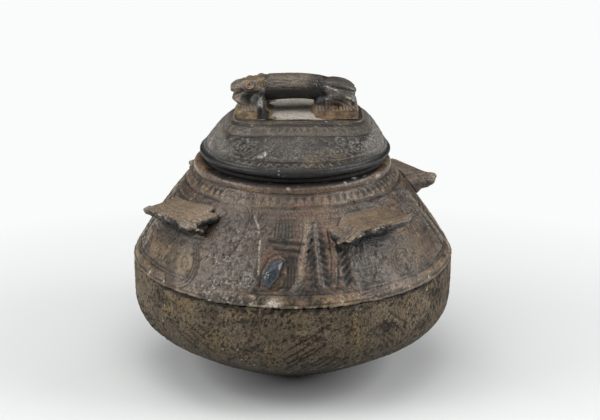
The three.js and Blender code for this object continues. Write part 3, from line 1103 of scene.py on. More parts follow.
    def _swirls(self, panel: Field, index: int) -> None:
        """Cuts the scrolls, ovals, strewn curls and hatchings round the outside of the panel.

        Args:
            panel: The panel. Its places are turns from its middle, and heights.
            index: Which panel it is, which picks its curls and hatchings.
        """
        scroll, bow, oval = panel.line((46, 147), (33, 162), (-51, 150))
        panel.cut([arc(scroll, 5 + 3.4 * ring, 30 * ring, 200 + 50 * ring) for ring in range(4)], 1.3, 0.3)
        panel.cut([arc(bow, 17 + 3 * ring, -125 + 6 * ring, -70 - 5 * ring) for ring in range(4)], 1, 0.4, 0.12)
        panel.cut([arc(oval, 27 + 3 * ring, -110, 30) for ring in range(3)], 1.4, 0.5)
        panel.cut([panel.line((63 + 1.9 * row, 199), (61 + 2 * row, 158)) for row in range(7)], 1.4, 0.55)
        for low, high, count, seed, pale in (((36, 136), (58, 160), 60, 35, 0.1), ((22, 138), (38, 160), 50, 30, 0.12)):
            panel.cut(curls(*panel.line(low, high), count, 7, seed=seed + index), 1.0, 0.5, pale)
        for middle, slant, count, gap, length, seed, width, deep in (
            ((-52, 193), 62, 9, 4, 10, 0, 1.3, 0.6),
            ((27, 127), 10, 3, 2.6, 17, 40, 1.4, 1),
            ((6, 127), 50, 7, 4.2, 8, 60, 1.4, 0.6),
            ((36, 195), 2, 6, 2.2, 34, 70, 1.1, 0.4),
        ):
            lines = hatching(panel.line(middle)[0], slant, count, gap, length, seed=seed + index)
            panel.cut(lines, width, deep)

    def _colour(self, skin: Skin, turn: Array, height: Array, outside: Array) -> None:
        """Lays earth, rust, soot and painted shade on the skin.

        Args:
            skin: The skin.
            turn: The turn of each point.
            height: The height of each point.
            outside: 1 on the outer face, and 0 inside.
        """
        for at, tall, wide, high, strength in self.earthy:
            spot = soft_spot(turn_from(turn, at), height, (0, tall), (wide, high), 1.5)
            skin.stain(Mark.EARTH, strength * spot * outside)
        skin.stain(Mark.EARTH, outside * within(height, 119, 131, 3) * (0.55 + 0.6 * skin.noise(18, 2)))
        skin.stain(Mark.EARTH, outside * 0.6 * skin.clouds(30, 0.15, 0.7, 3, shift=7))
        skin.stain(Mark.SOOT_AND_SHADE, outside * 0.6 * skin.clouds(36, 0.2, 0.8, 3, shift=61))
        for mark, strength, turns, blur, heights, fade in self.fronts:
            skin.stain(mark, outside * strength * within(turn, *turns, blur) * within(height, *heights, fade))
        # Painted shade on the shoulder under each lug, with soot.
        for lug in LUG_TURNS.values():
            away = np.abs(turn_from(turn, lug))
            skin.stain(Mark.SOOT_AND_SHADE, outside * (1 - smooth_step(away, 9, 18)) * within(height, 162, 184, 8))
            skin.stain(Mark.SOOT_AND_SHADE, outside * 0.6 * (1 - smooth_step(away, 6, 19)) * within(height, 152, 184, 14))

    def _ridge(self, skin: Skin, turn: Array, height: Array, outside: Array) -> None:
        """Wears, cracks and chips the ridge, and paints shade along its lower edge.

        Args:
            skin: The skin.
            turn: The turn of each point.
            height: The height of each point.
            outside: 1 on the outer face, and 0 inside.
        """
        edge = outside * (1 - smooth_step(height + 1.6 * skin.noise(9, 2, shift=12), 119.6, 122.4))
        skin.lift -= edge * (0.5 + 0.7 * skin.noise(5, 2, shift=13))
        # Painted shade along the ridge's lower edge, with soot.
        skin.stain(Mark.SOOT_AND_SHADE, edge * (0.7 + 0.6 * skin.noise(7, 2, shift=14)))
        crack = groove(height - 123.4 - 1.2 * skin.noise(16, 2, shift=16), 1)
        skin.cut(outside * crack * skin.clouds(24, 0, 0.3, 1, shift=17), 0.6)
        crumbs = groove(height - 121.9 - 0.8 * skin.noise(12, 2, shift=18), 1) * skin.clouds(18, 0.1, 0.4, shift=20)
        skin.stain(Mark.CHIP_AND_PAINTED_LIGHT, (0.25 + 0.5 * within(turn, -12, 18, 8)) * outside * crumbs)
        gold = outside * within(turn, -12, 26, 8) * within(height, 119, 129, 3)
        skin.stain(Mark.EARTH, gold)
        skin.stain(Mark.RUST, 0.5 * gold * skin.clouds(8, 0, 0.5, shift=31))
        big = soft_spot(turn, height, (-6, 125), (2.6, 3.6), 2)
        chips = skin.clouds(6, 0.58, 0.78, shift=23) * within(height, 118, 126, 3)
        chips = outside * np.maximum(chips, big * skin.clouds(3.5, -0.5, 0))
        skin.cut(chips, 0.7)
        skin.stain(Mark.CHIP_AND_PAINTED_LIGHT, chips)
        skin.stain(Mark.PALE_AND_GLINT, outside * big * 0.35)
        torn = outside * within(turn, -24, 20, 12) * (1 - smooth_step(height, 121, 123.5))
        skin.cut(torn * skin.clouds(4.5, -0.1, 0.35, shift=26), 1.3)


@dataclass
class Bowl:
    """The round base and the low upright wall below the ridge, wiped but not burnished.

    Attributes:
        steps: How many faces go round.
        row_step: How wide the rows of faces are on the outer face.
        clay: How thick the base is.
        wall: The wall's outer radius.
        around: How many millimetres of wall one degree of turn is.
        scratched: Sets of scratches: the turn and height of each, its slant, how many scratches it has, how far apart
            and how long they are, and a seed.
    """

    steps: int = 760
    row_step: float = 1.7
    clay: float = 9
    wall: float = 160
    around: float = math.radians(155)
    scratched: tuple[tuple[float, ...], ...] = (
        (8, 72, 33, 9, 5.5, 44, 1),
        (36, 88, -42, 6, 5, 26, 2),
        (63, 104, 62, 5, 4.5, 24, 3),
        (61, 103, -58, 4, 6, 22, 4),
        (-34, 84, -30, 5, 5.5, 30, 5),
        (-62, 70, 20, 5, 6, 34, 6),
        (120, 76, 35, 8, 5.5, 40, 7),
        (165, 94, -35, 7, 6, 34, 8),
        (-110, 82, 30, 9, 5.5, 42, 9),
        (-150, 68, -25, 6, 6, 36, 10),
    )

    def build(self) -> bpy.types.Object:
        """Returns the dressed bowl."""
        outer = [(44, 0), (45.6, 0.3)] + bend((45.6, 0.3), (88, 15), (140, 49), 40)
        outer += bend((140, 49), (158.5, 61), (self.wall, 80), 16)[1:] + [(self.wall, 119.6)]
        inner = [(151, 119.6), (151, 80)] + bend((151, 80), (148.5, 66), (135, 57), 8)[1:]
        inner += bend((135, 57), (84, 24), (42, self.clay), 12)[1:] + [(0, self.clay)]
        rows = [(0, 0), (22, 0)] + spaced(outer, self.row_step)
        made = turned("bowl_clay", rows + spaced(inner, 12), self.steps, closed=False)
        skin = Skin(made.data)
        self._wear(skin, (rows_of(made.data) < len(rows)).astype(float))
        skin.fix()
        return made

    def _wear(self, skin: Skin, outside: Array) -> None:
        """Roughens the skin and scratches it.

        Args:
            skin: The bare skin.
            outside: 1 on the outer face, and 0 inside.
        """
        height = skin.points[:, 2]
        free = outside * smooth_step(height, 0.5, 8)
        skin.lift += free * (0.5 * skin.noise(55, 2) - 0.45)
        skin.lift += free * (0.45 * skin.noise(3.6, 3, shift=5) + 0.3 * np.minimum(0, skin.noise(9, 2, shift=3)))
        skin.lift += free * 0.16 * skin.noise((34, 34, 2.2), 2, shift=21)
        skin.cut(free * skin.clouds(4, 0.45, 0.75, shift=77), 0.8)
        x, y = skin.turn * self.around, height + 0.35 * (self.wall - skin.radius)
        scratches = []
        for at, tall, slant, count, gap, length, seed in self.scratched:
            scratches += hatching((at * self.around, tall), slant, count, gap, length, seed)
        skin.cut(free * strokes(x, y, scratches, 1.5), 0.8)
        smears = skin.noise((26, 26, 13), 4, shift=31)
        skin.stain(Mark.SOOT_AND_SHADE, outside * 0.6 * smooth_step(smears, 0.05, 0.8))
        # Painted shade: darker towards the foot, and near black where the base meets the floor.
        skin.stain(Mark.SOOT_AND_SHADE, outside * (1.05 - smooth_step(height + 14 * smears, 14, 104)))
        skin.stain(Mark.SOOT_AND_SHADE, outside * 0.95 * smooth_step(skin.noise(2.8, 2, shift=5) + 0.4 * smears, 0.1, 0.5))
        skin.stain(Mark.EARTH, outside * 0.75 * skin.clouds(26, 0, 0.6, 3, shift=51))
        # Painted shadow in a broken line under the ridge.
        under = smooth_step(height + 1.5 * skin.noise(12, 2, shift=60), 115.6, 118)
        skin.stain(Mark.SOOT_AND_SHADE, outside * under * skin.clouds(30, -0.5, 0.3, shift=41))
        front = within(skin.turn, -24, 20, 12) * smooth_step(height + 3 * skin.noise(9, 2, shift=60), 110, 117)
        skin.cut(outside * front * skin.clouds(4.5, -0.2, 0.4, shift=26), 1)
        skin.stain(Mark.PALE_AND_GLINT, outside * skin.clouds(5, 0.86, 0.98, shift=19))


@dataclass
class MouthRim:
    """The flat ring that closes the shoulder. The lid lies on it."""

    steps: int = 480

    def build(self) -> bpy.types.Object:
        """Returns the dressed rim."""
        outer = bend((97.2, 208.4), (98.6, 216), (92.5, 216.4), 14)
        profile = spaced(outer, 0.8) + [(86, 216.4), (80.4, 216.4), (80.4, 208.4), (88, 208.4)]
        made = turned("rim_clay", profile, self.steps, closed=True)
        skin = Skin(made.data)
        outside = smooth_step(skin.radius, 84, 90)
        skin.lift += outside * (0.3 * skin.noise(40) + 0.12 * skin.noise(6, 2) - 0.25)
        skin.stain(Mark.EARTH, outside * 0.7 * skin.clouds(24, 0, 0.6, shift=4))
        # Painted shade under the lid's edge, with soot, and less of it at the sides.
        spared = 4 * smooth_step(np.abs(skin.turn), 35, 75)
        under_lid_shade = skin.points[:, 2] - 0.3 * skin.radius + 0.6 * skin.noise(20) - spared
        skin.stain(Mark.SOOT_AND_SHADE, smooth_step(under_lid_shade, 184.4, 186))
        skin.stain(Mark.PALE_AND_GLINT, outside * 0.5 * skin.clouds(9, 0.45, 0.8, shift=9))
        skin.fix()
        return made


@dataclass
class Lug:
    """One of the four shelves on the shoulder: combed on top, worn round at its tips, and two of them broken.

    Places on a lug are given by their reach from the jar's axis, how far across, along the shelf, they are from its
    middle, and how far they drop below its top.

    Attributes:
        node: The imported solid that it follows.
        edge_top: The height of its top at the middle of its edge.
        tilt: How much higher its end at positive across is.
        broken: Between which places across its edge is torn off, if it is.
        worn_end: How far one end is drawn in, with the sign of that end.
        sunk: How far the same end sags.
        tip: Half the thickness of its tips.
        rounding: How far its outer corners are drawn back.
        end: The reach and the place across of its tips.
        beige: How much bare clay shows on its top, from 0 to 1.
        half_width: Half its length along the edge.
        fineness: How wide each face of its skin is.
    """

    node: str
    edge_top: float
    tilt: float
    broken: Place | None = None
    worn_end: float = 1
    sunk: float = 1
    tip: float = 4.6
    rounding: float = 2
    end: Place = (139, 35)
    beige: float = 0.13
    half_width: float = 41
    fineness: float = 0.9

    @property
    def turn(self) -> float:
        """Its turn round the jar."""
        return LUG_TURNS[self.node]

    @property
    def torn_end(self) -> float:
        """Which end has lost its corner: -1, 1, or 0 for neither."""
        return math.copysign(1, sum(self.broken)) if self.broken else 0

    @property
    def out(self) -> Array:
        """The direction away from the pot, seen from above."""
        angle = math.radians(self.turn)
        return np.array((math.sin(angle), -math.cos(angle)))

    @property
    def side(self) -> Array:
        """The direction along the shelf, seen from above."""
        return np.array((-self.out[1], self.out[0]))

    def _place(self, reach: float, across: float, drop: float) -> tuple[float, float, float]:
        """Returns a place given by its reach from the axis, along the shelf and below its top."""
        x, y = self.out * reach + self.side * across
        return x, y, self.edge_top + self.tilt * across / self.half_width - drop

    def build(self, nodes: dict[str, bpy.types.Object]) -> bpy.types.Object:
        """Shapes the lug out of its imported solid.

        Args:
            nodes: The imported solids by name.

        Returns:
            The dressed lug.
        """
        clay = Lump()
        clay.take(nodes, [self.node], swell=0.35 if self.broken else 1.3)
        for end in (-1, 1):
            self._tip(clay, end)
        if self.broken:
            self._tear(clay)
        else:
            for across in np.linspace(-35, 35, 13):
                for reach, drop, size in ((138.8, 5, 5), (131, 8, 6), (124, 9.5, 7)):
                    clay.ball(self._place(reach, across, drop), (size + 1, size, size), turn=self.turn - 90)
        made = clay.fuse(self.node + "_clay", self.fineness, smoothing=2)
        skin = Skin(made.data)
        self._settle(skin)
        self._work(skin)
        skin.fix()
        return made

    def _tip(self, clay: Lump, end: int) -> None:
        """Rounds one tip, and leads it back to the shoulder unless its corner is torn off.

        Args:
            clay: The lug's clay.
            end: Which tip it is, -1 or 1.
        """
        reach, wide = self.end
        half = (1.9 * self.tip, 2 * self.tip, 1.1 * self.tip)
        clay.ball(self._place(reach, end * wide, self.tip), half, turn=self.turn - 90 + 10 * end)
        half = (2.4 * self.tip, 9, self.tip)
        clay.ball(self._place(reach - 5, end * (wide - 5), self.tip), half, turn=self.turn - 90)
        if end != self.torn_end:
            thick = self.tip + 0.2
            stops = ((112, 31, 1.3), (126, 35.5, 1.3), (136, 37.5, 1.25), (140, 36, 1.15))
            clay.roll([(*self._place(reach, end * wide, thick), thick * share) for reach, wide, share in stops])

    def _tear(self, clay: Lump) -> None:
        """Adds the ragged clay of a torn edge and of the corner next to it.

        Args:
            clay: The lug's clay.
        """
        draw = np.random.default_rng(round(abs(self.turn)))
        for across in np.linspace(*self.broken, 46):
            drop = draw.uniform(3, 9)
            reach = 141.5 - 6 * abs(across) / self.half_width - 0.35 * drop + draw.normal(scale=0.5)
            size = draw.uniform(1.9, 3.2)
            clay.ball(self._place(reach, across, drop), (size * 1.8, size, size), turn=self.turn - 90)
        for reach in np.linspace(139, 122, 20):
            size = draw.uniform(2, 3.4)
            wide = self.torn_end * (self.half_width - 1.5) + draw.normal(scale=0.6)
            clay.ball(self._place(reach, wide, draw.uniform(3, 11)), (size, size, size))
        for reach, wide, drop in ((138, 35, 2.4), (131, 38, 1.2), (124, 39.5, 0.2), (116, 40, -0.8)):
            clay.ball(self._place(reach, self.torn_end * wide, drop), (7, 6.5, 4.4), turn=self.turn - 90)

    def _settle(self, skin: Skin) -> None:
        """Draws in the end that is worn away, and blends the root into the shoulder.

        Args:
            skin: The bare skin.
        """
        across = skin.points[:, :2] @ self.side
        over = np.clip(np.abs(across) - 46, 0, None)
        skin.points[:, :2] -= self.side * (np.sign(across) * 0.5 * over)[:, None]
        reach = skin.points[:, :2] @ self.out
        corner = np.clip(np.abs(across) - 22, 0, 20) / 20 * smooth_step(reach, 128, 147)
        skin.points[:, :2] -= self.out * (self.rounding * corner**2)[:, None]
        worn = np.clip(across * math.copysign(1, self.worn_end), 0, None)
        skin.points[:, :2] -= self.side * self.worn_end * (worn / self.half_width)[:, None]
        skin.points[:, 2] -= self.sunk * smooth_step(worn, 22, self.half_width)
        clear = off_shoulder(skin)
        flat = skin.points[:, :2] / skin.radius[:, None]
        skin.points[:, :2] -= flat * np.where(clear < 0.9, 2.4, 0)[:, None]
        skin.lift += np.where(clear < 0.9, 0, 2.2 * np.exp(-np.clip(clear, 0, None) / 4.5))

    def _work(self, skin: Skin) -> None:
        """Combs, wears and breaks the skin, and paints shade on its undersides, outer edge and ends.

        Args:
            skin: The settled skin.
        """
        reach = skin.points[:, :2] @ self.out
        across = skin.points[:, :2] @ self.side
        upward = skin.outward[:, 2]
        top = smooth_step(upward, 0.5, 0.85)
        comb = ribs((reach + across**2 / 420 + 1.2 * skin.noise(22) + 0.6 * skin.noise(7)) / 5.6)
        pressed = np.clip(0.7 + 0.9 * skin.noise(9, 2, shift=3), 0.1, 1) * smooth_step(reach, 118, 126)
        skin.cut(top * comb * pressed, 0.8)
        skin.lift += 0.3 * skin.noise(11, 2) + 0.12 * skin.noise(3, 2) - 0.3
        tips = smooth_step(np.abs(across), 25, 39)
        skin.stain(Mark.EARTH, top * (0.1 + 0.45 * skin.noise(14, 2, shift=8)) + 0.3 * skin.noise(16, 2, shift=9))
        skin.stain(Mark.CHIP_AND_PAINTED_LIGHT, self.beige * top)
        skin.stain(Mark.PALE_AND_GLINT, 0.2 * tips * smooth_step(reach, 136, 145) * smooth_step(upward, -0.2, 0.4))
        # Painted shade on the undersides, the outer edge and the end faces, strongest on the broken lugs.
        skin.stain(Mark.SOOT_AND_SHADE, (1 if self.broken else 0.3) * smooth_step(-upward, -0.05, 0.3))
        skin.stain(Mark.SOOT_AND_SHADE, (1 - top) * smooth_step(reach, 133, 140) * 0.9 * (1 - tips))
        ends = smooth_step(np.sign(across) * (skin.outward[:, :2] @ self.side), 0.2, 0.5)
        ends = (1 - top) * ends * (1 - smooth_step(reach, 138, 144))
        skin.stain(Mark.SOOT_AND_SHADE, (1 if self.broken else 0.55) * ends)
        if self.broken:
            skin.lift += ends * (1.1 * skin.noise(5, 2, shift=57) - 0.2)
            self._break(skin, reach, across, top)

    def _break(self, skin: Skin, reach: Array, across: Array, top: Array) -> None:
        """Breaks the edge off.

        Args:
            skin: The settled skin.
            reach: How far from the axis each point is.
            across: How far along the shelf each point is.
            top: 1 on the top face.
        """
        low, high = self.broken
        bite = within(across, low - 4, high + 4, 5) * smooth_step(reach, 122, 134)
        crumbs = skin.noise(4.5, 3, shift=self.turn)
        skin.points[:, :2] -= self.out * (bite * np.clip(0.8 + 2.2 * crumbs, -1, 3))[:, None]
        torn = bite * (1 - top)
        skin.lift += 0.9 * torn * (skin.noise(3, 2, shift=15) - skin.clouds(4, 0, 0.5, 1, shift=44))
        # The torn face is darkened as painted shade.
        skin.stain(Mark.SOOT_AND_SHADE, torn * (0.55 + 0.8 * skin.noise(5, 2, shift=44)))
        skin.stain(Mark.RUST, torn * 0.8 * skin.clouds(7, 0, 0.5, shift=2))
        skin.stain(Mark.EARTH, torn * skin.clouds(4, -0.1, 0.4, shift=62))
        rim = bite * within(skin.outward[:, 2], 0.05, 0.6, 0.3) * skin.clouds(6, 0, 0.4, shift=80)
        skin.stain(Mark.CHIP_AND_PAINTED_LIGHT, rim)
        skin.stain(Mark.PALE_AND_GLINT, 0.8 * rim * skin.clouds(7, 0.15, 0.5, shift=91))


@dataclass
class LeafBoss:
    """The small polished leaf in relief."""

    node: str = "leaf_boss"

    def build(self, nodes: dict[str, bpy.types.Object]) -> bpy.types.Object:
        """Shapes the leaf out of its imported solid.

        Args:
            nodes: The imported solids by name.

        Returns:
            The dressed leaf.
        """
        clay = Lump()
        clay.take(nodes, [self.node], swell=2.3)
        made = clay.fuse(self.node + "_clay", 0.6, smoothing=7)
        skin = Skin(made.data)
        height = skin.points[:, 2]
        up = (height - height.min()) / np.ptp(height)
        inward = skin.radius - np.where(off_shoulder(skin) < 0.8, 1.6, 0)
        middle = -10 + 6.2 * up
        aside = (skin.turn - middle) * (0.36 + 0.46 * smooth_step(up, -0.05, 0.42))
        angle = np.radians(middle + aside + 0.4 + 1.7 * (1 - up))
        skin.points[:, :2] = inward[:, None] * np.stack([np.sin(angle), -np.cos(angle)], axis=1)
        across = aside * 2.6
        veins = ribs(4.2 * up - 0.07 * across, 3) * smooth_step(up, 0.25, 0.5)
        skin.cut(0.6 * veins * smooth_step(-across, -2, 1), 0.5)
        skin.lift += 0.35 * skin.noise(4.5, 2)
        # Soot in patches, and painted shade down the leaf's right side.
        skin.stain(Mark.SOOT_AND_SHADE, np.maximum(0.6 * skin.noise(6, 2), smooth_step(across - 0.4, 1.4, 4.4)))
        skin.stain(Mark.EARTH, 0.7 * skin.clouds(9, 0, 0.5, shift=5) * (1 - smooth_step(up, 0.2, 0.5)))
        tip = smooth_step(up + 0.03 * across, 0.92, 0.99) * smooth_step(across, -1, 0.6)
        skin.cut(tip, 0.5)
        skin.stain(Mark.CHIP_AND_PAINTED_LIGHT, tip)
        skin.stain(Mark.PALE_AND_GLINT, 0.6 * tip)
        skin.fix()
        return made


# The lid.


@dataclass
class LidShell:
    """The hollow dome: round at its rolled edge, squarish at its flat top, and carved all over its flanks.

    Attributes:
        steps: How many faces go round.
        shift: How far the lid lies to the right of the jar's axis.
        edge_radius: The radius of its rolled edge.
        foot: The height at which the flank starts.
        top: The height of the flat top.
        half: Half the length and half the depth of the top.
        top_shift: How far the top lies to the right of the edge.
        squareness: How square the front and the back of the top are. 2 is round.
        inset: How far the top's face starts inside its crease.
        crease: The radius of the crease round the top.
        clay: How thick the clay is.
        faces: The turn of the middle of each flank.
        degree: How many millimetres one degree of turn is, halfway up.
        slope: How long the flank is, up the slope.
        bands: The share of the slope, the width and the depth of each line round the lid.
        zigzags: The teeth of each zigzag, the share of the slope where it starts and how much it takes, its depth, and
            how much yellow earth lies along it.
    """

    steps: int = 900
    shift: float = 2.5
    edge_radius: float = 94
    foot: float = 229
    top: float = 263.6
    half: Place = (62.5, 43)
    top_shift: float = 3.5
    squareness: Place = (7.5, 3)
    inset: float = 2.2
    crease: float = 1.6
    clay: float = 9.4
    faces: tuple[float, ...] = (0, 90, 180, -90)
    degree: float = 1.45
    slope: float = 50
    bands: tuple[tuple[float, float, float], ...] = (
        (0.955, 1.1, 0.6),
        (0.785, 1.2, 0.7),
        (0.2, 1.3, 0.8),
        (0.045, 1.1, 0.6),
    )
    zigzags: tuple[tuple[int, float, float, float, float], ...] = (
        (52, 0.82, 0.11, 0.8, 0.6),
        (72, 0.07, 0.1, 0.8, 0.25),
    )

    def build(self) -> bpy.types.Object:
        """Returns the dressed lid."""
        crease = self.top - self.crease
        # Each row: the share of the slope, the share of the top's size, how far in it lies, and its height.
        rows = [(1, scale, self.inset, self.top) for scale in np.linspace(0, 1, 26)]
        for angle in np.radians(np.linspace(75, 0, 5)):
            rows.append((1, 1, self.inset * (1 - math.cos(angle)), crease + self.crease * math.sin(angle)))
        rows += [(share, 1, 0, self.foot + share * (crease - self.foot)) for share in np.linspace(1, 0, 60)[1:]]
        roll = bend((92, 229), (94.5, 228.2), (94, 225.4), 6)[1:] + bend((94, 225.4), (93, 221.2), (89, 221.2), 8)[1:]
        rows += [(0, 1, self.edge_radius - 2 - radius, height) for radius, height in roll]
        outer = len(rows)
        rows += [(0, 1, 8.8, 224.5)]
        rows += [(share, 1, 9, self.foot + share * (crease - self.foot) - 4.5) for share in (0.25, 0.5, 0.75)]
        rows += [(1, scale, 7, self.top - self.clay) for scale in (1, 0.5, 0)]
        # A flat blank comes first, so that every row has its place in it. Its points are then moved to the real form.
        made = turned("lid", [(90 * row[1], -index) for index, row in enumerate(rows)], self.steps, closed=False)
        index = rows_of(made.data)
        share, scale, inset, height = np.array(rows)[index].T
        angle = np.arctan2(*np.array([vert.co.yx for vert in made.data.vertices]).T)
        self._settle(made.data, angle, share, scale, inset, height)
        skin = Skin(made.data)
        self._carve(skin, np.degrees(angle) + 90, share, scale, (index < outer).astype(float))
        skin.fix()
        return made

    def _settle(
        self, mesh: bpy.types.Mesh, angle: Array, share: Array, scale: Array, inset: Array, height: Array
    ) -> None:
        """Moves the round blank's points to the squarish form.

        Args:
            mesh: The blank.
            angle: The angle of each point from +X, in radians.
            share: How far up the flank each point is.
            scale: How far out each point of the top lies, as a share.
            inset: How far inside the outline each point lies.
            height: The height of each point.
        """
        foot = self.edge_radius - 2
        half_x = foot + (self.half[0] - foot) * (0.78 * share + 0.22 * share**4) - inset
        half_y = foot + (self.half[1] - foot) * (0.52 * share + 0.48 * share**4) - inset
        front, back = (2 + (power - 2) * share**1.5 for power in self.squareness)
        power = np.where(np.sin(angle) < 0, front, back)
        reach = (np.abs(np.cos(angle) / half_x) ** power + np.abs(np.sin(angle) / half_y) ** power) ** (-1 / power)
        reach = reach * np.maximum(scale, 2e-4)
        x = self.shift + self.top_shift * share + reach * np.cos(angle)
        places = np.stack([x, reach * np.sin(angle), height], axis=1) * MM
        mesh.vertices.foreach_set("co", places.astype(np.float32).ravel())
        mesh.update()

    def _carve(self, skin: Skin, turn: Array, share: Array, scale: Array, outside: Array) -> None:
        """Cuts the bands and figures into the flanks.

        Args:
            skin: The bare skin.
            turn: The turn of each point.
            share: How far up the flank each point is.
            scale: How far out each point of the top lies, as a share.
            outside: 1 on the outer face, and 0 inside.
        """
        flank = outside * within(share, 0.004, 0.995, 0.01)
        length = 46 + 12 * np.abs(np.cos(np.radians(turn)))
        up = share * length + 0.4 * skin.noise(15) * flank
        level = up / length
        turn = turn_from(turn, 0) + 0.4 * skin.noise(18, shift=40)
        depth = flank * np.clip(0.8 + 0.5 * skin.noise(22, 2, shift=90), 0.2, 1.15)
        skin.lift += outside * (0.35 * skin.noise(45, 2) + 0.14 * skin.noise(8, 2) - 0.3)
        brush = skin.noise((40, 40, 2), 2, shift=15)
        skin.lift += 0.15 * outside * brush
        skin.stain(Mark.SOOT_AND_SHADE, outside * 0.5 * smooth_step(-brush, 0.1, 0.6))
        for at, width, deep in self.bands:
            skin.cut(depth * groove((level - at) * length, width), deep)
        for teeth, foot, tall, deep, tan in self.zigzags:
            tooth = zigzag(turn, teeth)
            rise = (level - foot) / tall
            band = within(rise, 0, 1, 0.15)
            skin.cut(depth * np.clip((rise - tooth) * 2, 0, 1) * band, deep)
            edge = outside * groove(rise - tooth, 0.35) * band
            skin.stain(Mark.EARTH, tan * edge * np.clip(0.6 + skin.noise(14, 2, shift=19), 0.1, 1))
            skin.stain(Mark.PALE_AND_GLINT, 0.16 * edge * skin.clouds(16, 0.1, 0.5, 1, shift=9))
        for index, face in enumerate(self.faces):
            local = turn_from(turn, face)
            zone = 1.3 * depth * within(level, 0.22, 0.77, 0.02) * within(local, -62, 62, 2)
            near = np.flatnonzero(zone)
            x = (-1 if index % 2 else 1) * local[near] * self.degree
            self._figures(Field(skin, near, x, level[near] * self.slope, zone[near], self._place), index)
        self._colour(skin, level, share, scale, outside)

    def _place(self, turn: float, share: float) -> Place:
        """Turns a turn from a flank's middle and a share of the slope into millimetres across and up."""
        return turn * self.degree, share * self.slope

    def _figures(self, flank: Field, index: int) -> None:
        """Cuts the figures of one flank: fans, lozenges, a tent and scrolls, with curls strewn between them.

        Args:
            flank: The flank. Its places are turns from its middle, and shares of the slope.
            index: Which flank it is, which picks its curls.
        """
        line = flank.line
        flank.cut(curls(*line((-42, 0.26), (46, 0.74)), 60, 6, seed=80 + index), 1.2, 0.4, 0.2)
        left, middle, right, ring = line((-55, 0.24), (-6, 0.26), (52, 0.28), (-31, 0.52))
        flank.cut(fan(left, 3, 17, 35, 150, 8) + [arc(left, 19, 30, 150)], 1.5, 0.8)
        flank.cut([line((-52, 0.76), (-38, 0.5), (-32, 0.24)), line((-40, 0.76), (-47, 0.62))], 1.6, 0.9)
        flank.cut([line((-51, 0.52), (-46, 0.66), (-41, 0.52), (-46, 0.38), (-51, 0.52))], 1.5, 0.8, 0.12)
        flank.cut([line((-46.4, 0.52), (-45.6, 0.53))], 3, 0.9)
        flank.cut([arc(ring, size, 60, 330) for size in (3, 5.6, 8.2)], 1.3, 0.7, 0.15)
        tent = [line((-31, 0.28), (-22, 0.6), (-12, 0.28)), line((-27, 0.28), (-22, 0.46), (-17, 0.28))]
        flank.cut(tent, 1.3, 0.8, 0.2)
        flank.cut([line((-22.5, 0.34), (-21.5, 0.34)), line((-20, 0.38), (-20, 0.42))], 2.6, 0.3, 1)
        flank.cut(fan(middle, 3, 12, 25, 160, 7) + [arc(middle, size, 20, 165) for size in (13.5, 16)], 1.3, 0.6, 0.2)
        first, second, third, fourth, fifth = line((2, 0.66), (13, 0.5), (26, 0.46), (39, 0.52), (31, 0.68))
        flank.cut([spiral(first, 5, 1.8), spiral(second, 8.5, -2, start=90)], 1.3, 0.65, 0.15)
        flank.cut([spiral(third, 9.5, 2.2), spiral(fourth, 8.5, -2.1), spiral(fifth, 5, 1.6)], 1.3, 0.65, 0.25)
        flank.cut([line((18, 0.72), (24, 0.64), (30, 0.74)), line((20, 0.3), (28, 0.25), (36, 0.3))], 1.4, 0.7, 0.15)
        flank.cut(fan(right, 3, 14, 40, 150, 6) + [line((46, 0.74), (52, 0.56), (58, 0.72))], 1.4, 0.7)

    def _colour(self, skin: Skin, level: Array, share: Array, scale: Array, outside: Array) -> None:
        """Lays soot, earth, dust, painted shade and painted light on the lid.

        Args:
            skin: The skin.
            level: How far up the slope each point is, as a share.
            share: The same before the hand's wobble.
            scale: How far out each point of the top lies, as a share.
            outside: 1 on the outer face, and 0 inside.
        """
        x, y, z = skin.points.T
        flat = outside * (share > 0.999) * within(scale, -1, 0.999, 0.01)
        brink = smooth_step(scale + 0.02 * skin.noise(9, 2, shift=52), 0.84, 0.9)
        sides = smooth_step(np.abs(skin.outward[:, 0]), 0.35, 0.75) * smooth_step(level, 0.1, 0.2)
        skin.stain(Mark.SOOT_AND_SHADE, outside * 0.6 * skin.clouds(30, 0.1, 0.8, shift=5))
        # Painted shadow under the crease round the top.
        skin.stain(Mark.SOOT_AND_SHADE, outside * within(level, 0.955, 1.01, 0.01) * 0.3 * (1 - flat))
        # Painted shade on the rolled lip, near black at its foot.
        skin.stain(Mark.SOOT_AND_SHADE, 1.2 * outside * (1 - smooth_step(z + skin.noise(16, 2), 228.5, 231.5)))
        # Painted shade along the outer edge of the flat top.
        skin.stain(Mark.SOOT_AND_SHADE, flat * brink * (0.5 + 0.4 * skin.noise(14, 2, shift=53)))
        # Painted reflection: the rest of the flat top is pale grey, as it shines with the room.
        skin.stain(Mark.CHIP_AND_PAINTED_LIGHT, flat * (1 - brink) * (0.92 + 0.14 * skin.noise(24, 2, shift=29)))
        # Painted light on the left and right flanks.
        skin.stain(Mark.CHIP_AND_PAINTED_LIGHT, outside * sides * (0.25 + 0.1 * skin.noise(12, 2, shift=44)))
        skin.stain(Mark.CHIP_AND_PAINTED_LIGHT, outside * 0.14 * within(level, 0.79, 0.95, 0.03))
        skin.stain(Mark.EARTH, flat * 0.3 * skin.noise(18, 2, shift=9))
        skin.stain(Mark.EARTH, outside * 0.4 * skin.clouds(26, 0.25, 0.9, 3, shift=33))
